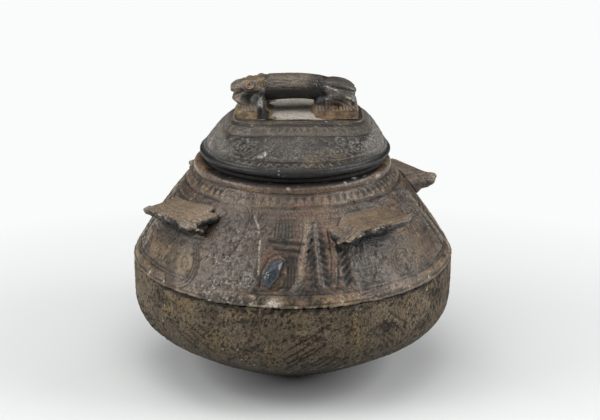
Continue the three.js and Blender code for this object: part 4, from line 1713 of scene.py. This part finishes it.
        # Dust lies against the two posts of the beast.
        for middle, wide in ((-42, 13), (28, 14)):
            dust = flat * soft_spot(x, np.abs(y), (middle, 30), (wide, 9), 1.4)
            skin.stain(Mark.EARTH, dust * (1 - 0.7 * brink))
            skin.stain(Mark.RUST, dust * 0.6)
        corner = outside * within(share, 0.97, 1.0, 0.03) * (scale > 0.999)
        skin.stain(Mark.EARTH, corner * 0.7 * skin.clouds(12, -0.1, 0.5, shift=6))
        glint = skin.clouds(3, 0.6, 0.85, shift=71) * skin.clouds(30, 0, 0.5, 1, shift=2)
        skin.stain(Mark.PALE_AND_GLINT, outside * 0.35 * glint)
        skin.lift += outside * smooth_step(share, 0.8, 1) * 2.3 * soft_spot(x, y, (4, 37), (34, 18))
        skin.lift += flat * 0.1 * skin.noise(5, 2)


@dataclass
class BeastHandle:
    """The four-legged beast stretched over the lid. Its head, back, posts and legs are pressed into one."""

    fineness: float = 0.8
    ground: float = 263.4

    def build(self, nodes: dict[str, bpy.types.Object]) -> bpy.types.Object:
        """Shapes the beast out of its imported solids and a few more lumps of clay.

        Args:
            nodes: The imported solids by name.

        Returns:
            The dressed beast, without its eyes and ears.
        """
        clay = Lump()
        clay.take(nodes, ["beast_body", "beast_head", "fore_post", "hind_post", "left_hindleg", "right_hindleg"])
        for side in (-1, 1):
            self._head(clay, side)
            self._legs(clay, side)
        clay.roll([(-20, 0, 281, 6), (3, 0, 281.4, 6.3), (22, 0, 281, 6)])
        made = clay.fuse("beast", self.fineness, smoothing=3)
        skin = Skin(made.data)
        self._tool(skin)
        skin.fix()
        return made

    def _head(self, clay: Lump, side: int) -> None:
        """Adds the snout, brow, cheek, lips and throat of one side.

        Args:
            clay: The beast's clay.
            side: -1 for the camera's side, and 1 for the other.
        """
        clay.ball((-51.6, side * 4.5, 287.6), (8.2, 5.8, 5.8), lean=6)
        clay.ball((-42.5, side * 6.2, 288.4), (12, 5.4, 7.4), lean=2)
        clay.ball((-51, side * 4.6, 282), (6.4, 5.6, 5))
        clay.ball((-52.4, side * 4.8, 277), (6.6, 5.4, 4.6), lean=-10)
        clay.ball((-47.5, side * 6, 269.8), (8, 7, 6), lean=-30)
        clay.ball((-34, side * 6.5, 293), (8, 5.2, 5), lean=6)

    def _legs(self, clay: Lump, side: int) -> None:
        """Adds the flaring feet of the posts, the legs and the toes of one side.

        Args:
            clay: The beast's clay.
            side: -1 for the camera's side, and 1 for the other.
        """
        for x, length in ((-37.5, 16.5), (42, 19.5)):
            for share in (0, 0.5, 1):
                clay.ball((x, side * (10 + 14 * share), 263), (length - 1.5 * share, 9, 6.5 - 4.2 * share))
        clay.ball((-34, side * 10, 272), (8.5, 7, 10))
        clay.roll([(-30, side * 12.4, 287, 2.6), (-29.6, side * 14.2, 279, 2.2), (-28.4, side * 17.5, 271.5, 2)])
        clay.roll([(-28.4, side * 17.5, 271.5, 2), (-26.4, side * 24, 267, 1.9), (-23.4, side * 31, 264.6, 1.8)])
        for toe in range(3):
            clay.ball((-23.6 + 2.6 * toe, side * (33 - 0.6 * toe), 264.2), (1.1, 3, 1.4), turn=side * 24)
        clay.ball((47, side * 8, 289), (14.5, 5.4, 5), lean=16)
        clay.ball((45, side * 10.6, 281.4), (17.5, 5.2, 4.8), lean=19)
        clay.ball((50, side * 11.5, 274), (11, 6, 7))
        clay.ball((40, side * 10, 273), (18, 6.4, 8))
        clay.ball((52, side * 26, 264.6), (10.5, 8.6, 2.6))
        for toe in range(4):
            clay.ball((45 + 4.8 * toe, side * 33, 264.5), (2.2, 3, 1.8))

    def _tool(self, skin: Skin) -> None:
        """Trims, cuts and colours the skin.

        Args:
            skin: The bare skin.
        """
        aside = smooth_step(np.abs(skin.outward[:, 1]), 0.25, 0.6)
        upward = smooth_step(skin.outward[:, 2], 0.2, 0.7)
        self._trim(skin)
        self._cut_face(skin, aside, upward)
        self._cut_body(skin, aside, upward)
        self._colour(skin, aside)

    def _trim(self, skin: Skin) -> None:
        """Flattens the feet, lowers the crown, draws in the throat and the hollow behind the forelegs' root, and paints
        shade in that hollow.

        Args:
            skin: The bare skin.
        """
        x, y, z = skin.points.T
        skin.points[:, 2] = np.maximum(z, self.ground)
        crown = np.interp(x, (-60, -55, -48, -41, -34, -25), (288.4, 291.8, 293.4, 294.4, 296, 302))
        skin.points[:, 2] -= 0.75 * np.clip(z - crown, 0, None)
        flare = np.exp(-(z - self.ground) / 2.4) * np.hypot(skin.outward[:, 0], skin.outward[:, 1])
        skin.points[:, :2] += skin.outward[:, :2] * (3.2 * flare)[:, None]
        throat = np.exp(-(((z - 270.6) / 3.4) ** 2)) * smooth_step(-x, 42, 52)
        skin.points[:, 0] += 5 * throat
        hollow = soft_spot(x, z, (-38.5, 277), (9.5, 6), 1.6) * smooth_step(np.abs(y), 2, 8)
        skin.points[:, 1] -= np.sign(y) * 4 * hollow
        # The hollow is darkened as painted shade.
        skin.stain(Mark.SOOT_AND_SHADE, 1.2 * hollow)

    def _cut_face(self, skin: Skin, aside: Array, upward: Array) -> None:
        """Cuts the mouth, nostrils, jaw, brow and neck.

        Args:
            skin: The trimmed skin.
            aside: 1 where the skin looks to a side.
            upward: 1 where it looks up.
        """
        x, _, z = skin.points.T
        front = smooth_step(-skin.outward[:, 0], -0.2, 0.4)
        mouth = near_path(x, z, [(-63, 281), (-56, 281), (-51.5, 282.5), (-47.5, 285)], 1.8)
        skin.cut(mouth * np.maximum(aside, front), 1.2)
        skin.cut(groove(np.hypot(x + 56.5, z - 288.6), 1.8) * aside, 1)
        jaw = near_path(x, z, [(-50, 287), (-46.5, 284), (-40, 282.6), (-33, 283.6), (-31, 287)], 1.7)
        brow = near_path(x, z, [(-55, 291), (-48, 295), (-40, 297), (-33.5, 297.4)], 1.4)
        skin.cut(np.clip(jaw + brow, 0, 1) * aside, 1)
        neck = near_path(x, z, [(-25, 300), (-23.6, 294), (-24.4, 288)], 1.8)
        skin.cut(neck * np.maximum(aside, upward), 0.7)

    def _cut_body(self, skin: Skin, aside: Array, upward: Array) -> None:
        """Cuts the haunch, the ribbed posts and the back.

        Args:
            skin: The trimmed skin.
            aside: 1 where the skin looks to a side.
            upward: 1 where it looks up.
        """
        x, _, z = skin.points.T
        for path, deep in (
            ([(27, 292), (38, 289.6), (50, 287), (63, 282.5)], 0.7),
            ([(28, 284), (31, 281.5), (44, 277.5), (62, 270.5)], 0.9),
            ([(30, 297), (42, 294.6), (52, 291.4), (60, 288)], 0.5),
            ([(26, 296), (24.5, 291), (27, 286)], 0.6),
        ):
            skin.cut(near_path(x, z, path, 1.7) * np.maximum(aside, 0.6 * upward), deep)
        haunch = near_path(x, z, [(32, 290), (44, 285.4), (61, 275.8)], 2.4) * aside
        skin.lift += 0.9 * haunch
        # Painted glint along the haunch's crest.
        skin.stain(Mark.PALE_AND_GLINT, 0.5 * haunch**3 * skin.clouds(5, -0.2, 0.3, shift=66))
        beads = ribs((x + 0.4 * z) / 3.1, 1) * within(x, 27, 34, 2) * within(z, 286, 297, 2)
        skin.cut(beads * aside, 0.7)
        flutes = ribs((x + 0.2 * (z - 264) + 0.9 * skin.noise(9)) / 3.3) * aside
        hind = (1 - smooth_step(z, 272, 280 - 0.25 * (x - 30))) * smooth_step(z, 264.4, 266.5) * within(x, 20, 64, 6)
        skin.cut(flutes * hind * np.clip(0.8 + skin.noise(8), 0.2, 1), 0.9)
        skin.cut(flutes * within(z, 266.5, 273, 4) * within(x, -54, -33, 6) * 0.5, 0.5)
        grain = skin.noise((30, 3.2, 2.6), 2, shift=12)
        skin.cut(smooth_step(0.17 - np.abs(grain), 0, 0.15) * within(x, -24, 33, 4) * within(z, 286.5, 302, 3), 0.75)
        ripples = ribs((x + 0.5 * z + skin.noise(7)) / 3.4, 1) * within(x, 15, 28, 6) * within(z, 288, 298, 4)
        skin.cut(ripples * aside, 0.5)
        skin.cut(near_path(x, z, [(-23, 288), (3, 288.4), (24, 287)], 1.4) * aside, 0.8)
        skin.lift += 0.2 * skin.noise(8, 2) + 0.12 * skin.noise(3.4, 2)

    def _colour(self, skin: Skin, aside: Array) -> None:
        """Lays soot, earth, rust, painted shade and painted glints on the skin.

        Args:
            skin: The trimmed skin.
            aside: 1 where the skin looks to a side.
        """
        x, y, z = skin.points.T
        foreleg = within(x, -34, -22, 3) * (1 - smooth_step(z, 284, 289)) * smooth_step(np.abs(y), 12, 14)
        skin.stain(Mark.SOOT_AND_SHADE, foreleg)
        # Painted glint on the foreleg.
        skin.stain(Mark.PALE_AND_GLINT, 0.35 * foreleg * within(z, 270, 281, 4) * smooth_step(-x, 28, 29.5))
        skin.stain(Mark.CHIP_AND_PAINTED_LIGHT, 0.1 * smooth_step(x, 30, 38) * smooth_step(z, 276, 284))
        skin.stain(Mark.CHIP_AND_PAINTED_LIGHT, 0.16 * smooth_step(-x, 30, 36) * smooth_step(z, 279, 286))
        # Painted shade under the back and between the posts, with soot.
        gap = within(x, -26, 32, 6) * smooth_step(z, 268, 275)
        skin.stain(Mark.SOOT_AND_SHADE, 1.4 * gap * (1 - smooth_step(z, 286.5, 289.5)))
        skin.stain(Mark.SOOT_AND_SHADE, 0.4 * skin.clouds(14, 0.1, 0.6, shift=8))
        back = within(x, -26, 16, 12) * smooth_step(z, 286, 290)
        skin.stain(Mark.RUST, back * (0.1 + 0.6 * skin.noise(10, 2, shift=3)))
        skin.stain(Mark.EARTH, back * (0.3 + 0.5 * skin.noise(12, 2, shift=30)))
        skin.stain(Mark.CHIP_AND_PAINTED_LIGHT, 0.16 * back)
        low = 1 - smooth_step(z, 270, 279)
        skin.stain(Mark.EARTH, low * (0.7 + 0.5 * skin.noise(7, 2, shift=4)))
        skin.stain(Mark.RUST, low * smooth_step(x, 10, 20) * 0.5)
        head = (1 - smooth_step(x, -31, -26)) * smooth_step(z, 281, 286)
        skin.stain(Mark.EARTH, head * (0.6 + 0.6 * skin.noise(8, 2)))
        skin.stain(Mark.RUST, head * (0.3 + 0.5 * skin.noise(7, 2, shift=71)))
        skin.stain(Mark.PALE_AND_GLINT, (1 - smooth_step(x, -33, -28)) * smooth_step(z, 283, 290) * 0.08 * aside)
        skin.stain(Mark.EARTH, near_path(x, z, [(-62, 284), (-56, 277.5), (-50, 275)], 5) * 0.8)


@dataclass
class Eye:
    """A round eye: a pressed disc with a raised rim and a pricked pupil."""

    node: str
    side: int
    middle: tuple[float, float, float] = (-41.3, 10.8, 291)
    radius: float = 4.7
    upturned: float = 26

    def build(self) -> bpy.types.Object:
        """Returns the dressed eye."""
        r = self.radius
        pupil = [(0, 0.1), (0.6, 0.15), (1.1, 0.9), (1.7, 1.2)]
        rim = [(3, 1), (3.5, 0.8), (3.9, 1.3), (4.5, 1.3), (r, 0.4)]
        profile = pupil + rim + [(r, -2.4), (0, -2.4)]
        made = turned(self.node + "_clay", spaced(profile, 0.3), 72, closed=False)
        x, y, z = self.middle
        upright = Matrix.Rotation(math.radians((90 - self.upturned) * -self.side), 4, "X")
        made.data.transform(Matrix.Translation((x * MM, self.side * y * MM, z * MM)) @ upright)
        skin = Skin(made.data)
        away = np.linalg.norm(skin.points - (x, self.side * y, z), axis=1)
        skin.stain(Mark.RUST, 1 - smooth_step(away, 1.2, 2.2))
        skin.stain(Mark.EARTH, smooth_step(away, 1, 2))
        skin.stain(Mark.PALE_AND_GLINT, 0.1 * within(away, 1.8, 4.4, 1))
        skin.stain(Mark.RUST, 0.4 * within(away, 2, 5, 1))
        skin.fix()
        return made


@dataclass
class Ear:
    """A small ear: a nub of clay with a coiled line pressed into it. The coil's turns are coil apart."""

    node: str
    side: int
    coil: float = 2.1

    def build(self) -> bpy.types.Object:
        """Returns the dressed ear."""
        clay = Lump()
        clay.ball((-30.6, self.side * 6.4, 295.8), (4, 3, 2.8), lean=-10)
        clay.ball((-28.6, self.side * 10.4, 291.6), (4.4, 2.4, 4.8), lean=10)
        made = clay.fuse(self.node + "_clay", 0.45, smoothing=3)
        skin = Skin(made.data)
        x, z = skin.points[:, 0] + 28.6, skin.points[:, 2] - 291.6
        away = np.hypot(x, z)
        curl = groove(((away / self.coil - np.arctan2(z, x) / math.tau) % 1 - 0.5) * self.coil, 0.9)
        skin.cut(curl * smooth_step(self.side * skin.outward[:, 1], 0.2, 0.6) * (away < 4), 0.9)
        skin.stain(Mark.EARTH, np.ones(len(x)))
        skin.stain(Mark.RUST, np.full(len(x), 0.3))
        skin.fix()
        return made


# The studio.


@dataclass
class Studio:
    """A white floor, soft boxes round the jar, and the camera of the photograph. Its lengths are in metres.

    Attributes:
        eye: Where the camera is.
        pitch: How far it looks down, in degrees.
        lens: Its focal length in millimetres, on a sensor 36 mm wide.
        aim: Where the lamps point.
        fill: How strongly the room lights the jar.
        wall: How bright the room is to the camera.
        floor_half: Half the width of the floor.
        shadows: Between which distances from the foot of the jar the floor turns from paper, which takes shadows, to
            an even white.
    """

    eye: tuple[float, float, float] = (0.0074, -1.290, 0.608)
    pitch: float = 19.17
    lens: float = 81.66
    aim: tuple[float, float, float] = (0, 0, 0.17)
    fill: float = 0.07
    wall: float = 0.97
    floor_half: float = 6
    shadows: Place = (0.33, 0.8)

    def build(self) -> None:
        """Sets the camera, the lamps, the world and the floor."""
        scene = bpy.context.scene
        scene.view_settings.view_transform = "Standard"
        camera = bpy.data.objects.new("camera", bpy.data.cameras.new("camera"))
        camera.data.lens = self.lens
        camera.data.sensor_width = 36
        camera.location = self.eye
        camera.rotation_euler = (math.radians(90 - self.pitch), 0, 0)
        scene.collection.objects.link(camera)
        scene.camera = camera
        self._lamp("overhead", (-0.1, -0.15, 1.3), (1.0, 0.8), 4.5)
        self._lamp("overhead behind a polariser", (-0.12, -0.55, 1.25), (1.4, 1.0), 9.8, glare=False)
        self._lamp("left", (-1.2, -0.4, 0.85), (0.8, 0.9), 16)
        self._lamp("right", (1.25, -0.3, 0.85), (0.8, 0.9), 19)
        world = bpy.data.worlds.new("white room")
        world.use_nodes = True
        world.node_tree.nodes["Background"].inputs["Color"].default_value = (1, 1, 1, 1)
        tree = world.node_tree
        seen = add_node(tree, "ShaderNodeLightPath").outputs["Is Camera Ray"]
        settings = {0: seen, 1: self.wall - self.fill, 2: self.fill}
        strength = add_node(tree, "ShaderNodeMath", settings, operation="MULTIPLY_ADD").outputs[0]
        tree.links.new(strength, tree.nodes["Background"].inputs["Strength"])
        scene.world = world
        self._floor()

    def _lamp(
        self, name: str, place: tuple[float, float, float], size: Place, power: float, glare: bool = True
    ) -> None:
        """Hangs a soft box that faces the jar.

        Args:
            name: Which box it is.
            place: Its middle, in metres.
            size: Its width and height, in metres.
            power: Its power, in watts.
            glare: False if a polariser takes its reflection off the clay.
        """
        light = bpy.data.lights.new(name, "AREA")
        light.shape = "RECTANGLE"
        light.size, light.size_y = size
        light.energy = power
        lamp = bpy.data.objects.new(name, light)
        lamp.location = place
        lamp.visible_glossy = glare
        lamp.rotation_euler = (Vector(self.aim) - Vector(place)).to_track_quat("-Z", "Y").to_euler()
        bpy.context.scene.collection.objects.link(lamp)

    def _floor(self) -> None:
        """Lays the floor, a flat sheet that reaches far behind the jar."""
        bm = bmesh.new()
        bmesh.ops.create_grid(bm, x_segments=1, y_segments=1, size=self.floor_half)
        floor = new_object("floor", bm)
        paper = bpy.data.materials.new("white paper sweep")
        paper.use_nodes = True
        tree = paper.node_tree
        tree.nodes.clear()
        matt = add_node(tree, "ShaderNodeBsdfDiffuse", {"Color": linear("cfd1d0")}).outputs[0]
        glow = add_node(tree, "ShaderNodeEmission", {"Color": linear("fafcfb"), "Strength": 1.0}).outputs[0]
        place = add_node(tree, "ShaderNodeTexCoord").outputs["Object"]
        away = add_node(tree, "ShaderNodeVectorMath", {0: place, 1: (0.0, -0.3, 0.0)}, operation="DISTANCE")
        near, far = self.shadows
        settings = {"Value": away.outputs["Value"], "From Min": near, "From Max": far}
        ramp = add_node(tree, "ShaderNodeMapRange", settings).outputs[0]
        ray = add_node(tree, "ShaderNodeLightPath").outputs
        settings = {0: ray["Is Camera Ray"], 1: ray["Is Glossy Ray"]}
        seen = add_node(tree, "ShaderNodeMath", settings, operation="MAXIMUM").outputs[0]
        share = add_node(tree, "ShaderNodeMath", {0: seen, 1: ramp}, operation="MULTIPLY").outputs[0]
        mixed = add_node(tree, "ShaderNodeMixShader", {0: share, 1: matt, 2: glow}).outputs[0]
        add_node(tree, "ShaderNodeOutputMaterial", {"Surface": mixed})
        floor.data.materials.append(paper)


def dress(piece: bpy.types.Object, body: str, material: bpy.types.Material, nodes: Sequence[str]) -> None:
    """Gives a finished piece its finish and its place on a body.

    Args:
        piece: The piece.
        body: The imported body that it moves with.
        material: Its finish.
        nodes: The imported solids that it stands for.
    """
    piece.data.materials.clear()
    piece.data.materials.append(material)
    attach(piece, body)
    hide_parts(*nodes)
    LOG.info("%s: %d faces", piece.name, len(piece.data.polygons))


def main() -> None:
    """Builds the jar, the lid, the beast and the studio, in that order."""
    logging.basicConfig(level=logging.INFO, format="%(message)s")
    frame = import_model()
    nodes = frame["nodes"]
    finishes = (ROUGH_CLAY, BURNISHED_CLAY, BLACKENED_CLAY, SHADED_SOOTY_CLAY, POLISHED_CLAY)
    rough, burnished, blackened, shaded_sooty, polished = (finish.material() for finish in finishes)

    dress(Bowl().build(), "jar", rough, ["base_bowl"])
    dress(Shoulder().build(), "jar", burnished, ["shoulder"])
    dress(MouthRim().build(), "jar", burnished, ["mouth_rim"])
    for lug in (
        Lug("lug_front_right", 186, 0, (-38, 6), worn_end=-9, sunk=10, tip=4, rounding=9, end=(135.5, 42)),
        Lug("lug_back_right", 181, -1, worn_end=-0.5, sunk=-3, tip=5.6),
        Lug("lug_back_left", 179, 1, tip=5),
        Lug("lug_front_left", 182.5, 4, (-20, 42), worn_end=3, sunk=3, tip=4, beige=0.24, end=(140, 39)),
    ):
        dress(lug.build(nodes), "jar", burnished, [lug.node])
    dress(LeafBoss().build(nodes), "jar", polished, ["leaf_boss"])

    dress(LidShell().build(), "lid", blackened, ["lid_shell"])
    parts = ["beast_body", "beast_head", "fore_post", "hind_post"]
    parts += [f"{side}_{leg}" for side in ("left", "right") for leg in ("foreleg", "hindleg")]
    dress(BeastHandle().build(nodes), "lid", blackened, parts)
    for name, side in (("left", -1), ("right", 1)):
        dress(Eye(f"{name}_eye", side).build(), "lid", blackened, [f"{name}_eye"])
        dress(Ear(f"{name}_ear", side).build(), "lid", blackened, [f"{name}_ear"])
    # Painted shade: the collar and the seat ring, seen only in the gap under the lid, are near black.
    for node in ("neck_collar", "lid_seat_ring"):
        nodes[node].data.materials.clear()
        nodes[node].data.materials.append(shaded_sooty)

    Studio().build()


if __name__ == "__main__":
    main()
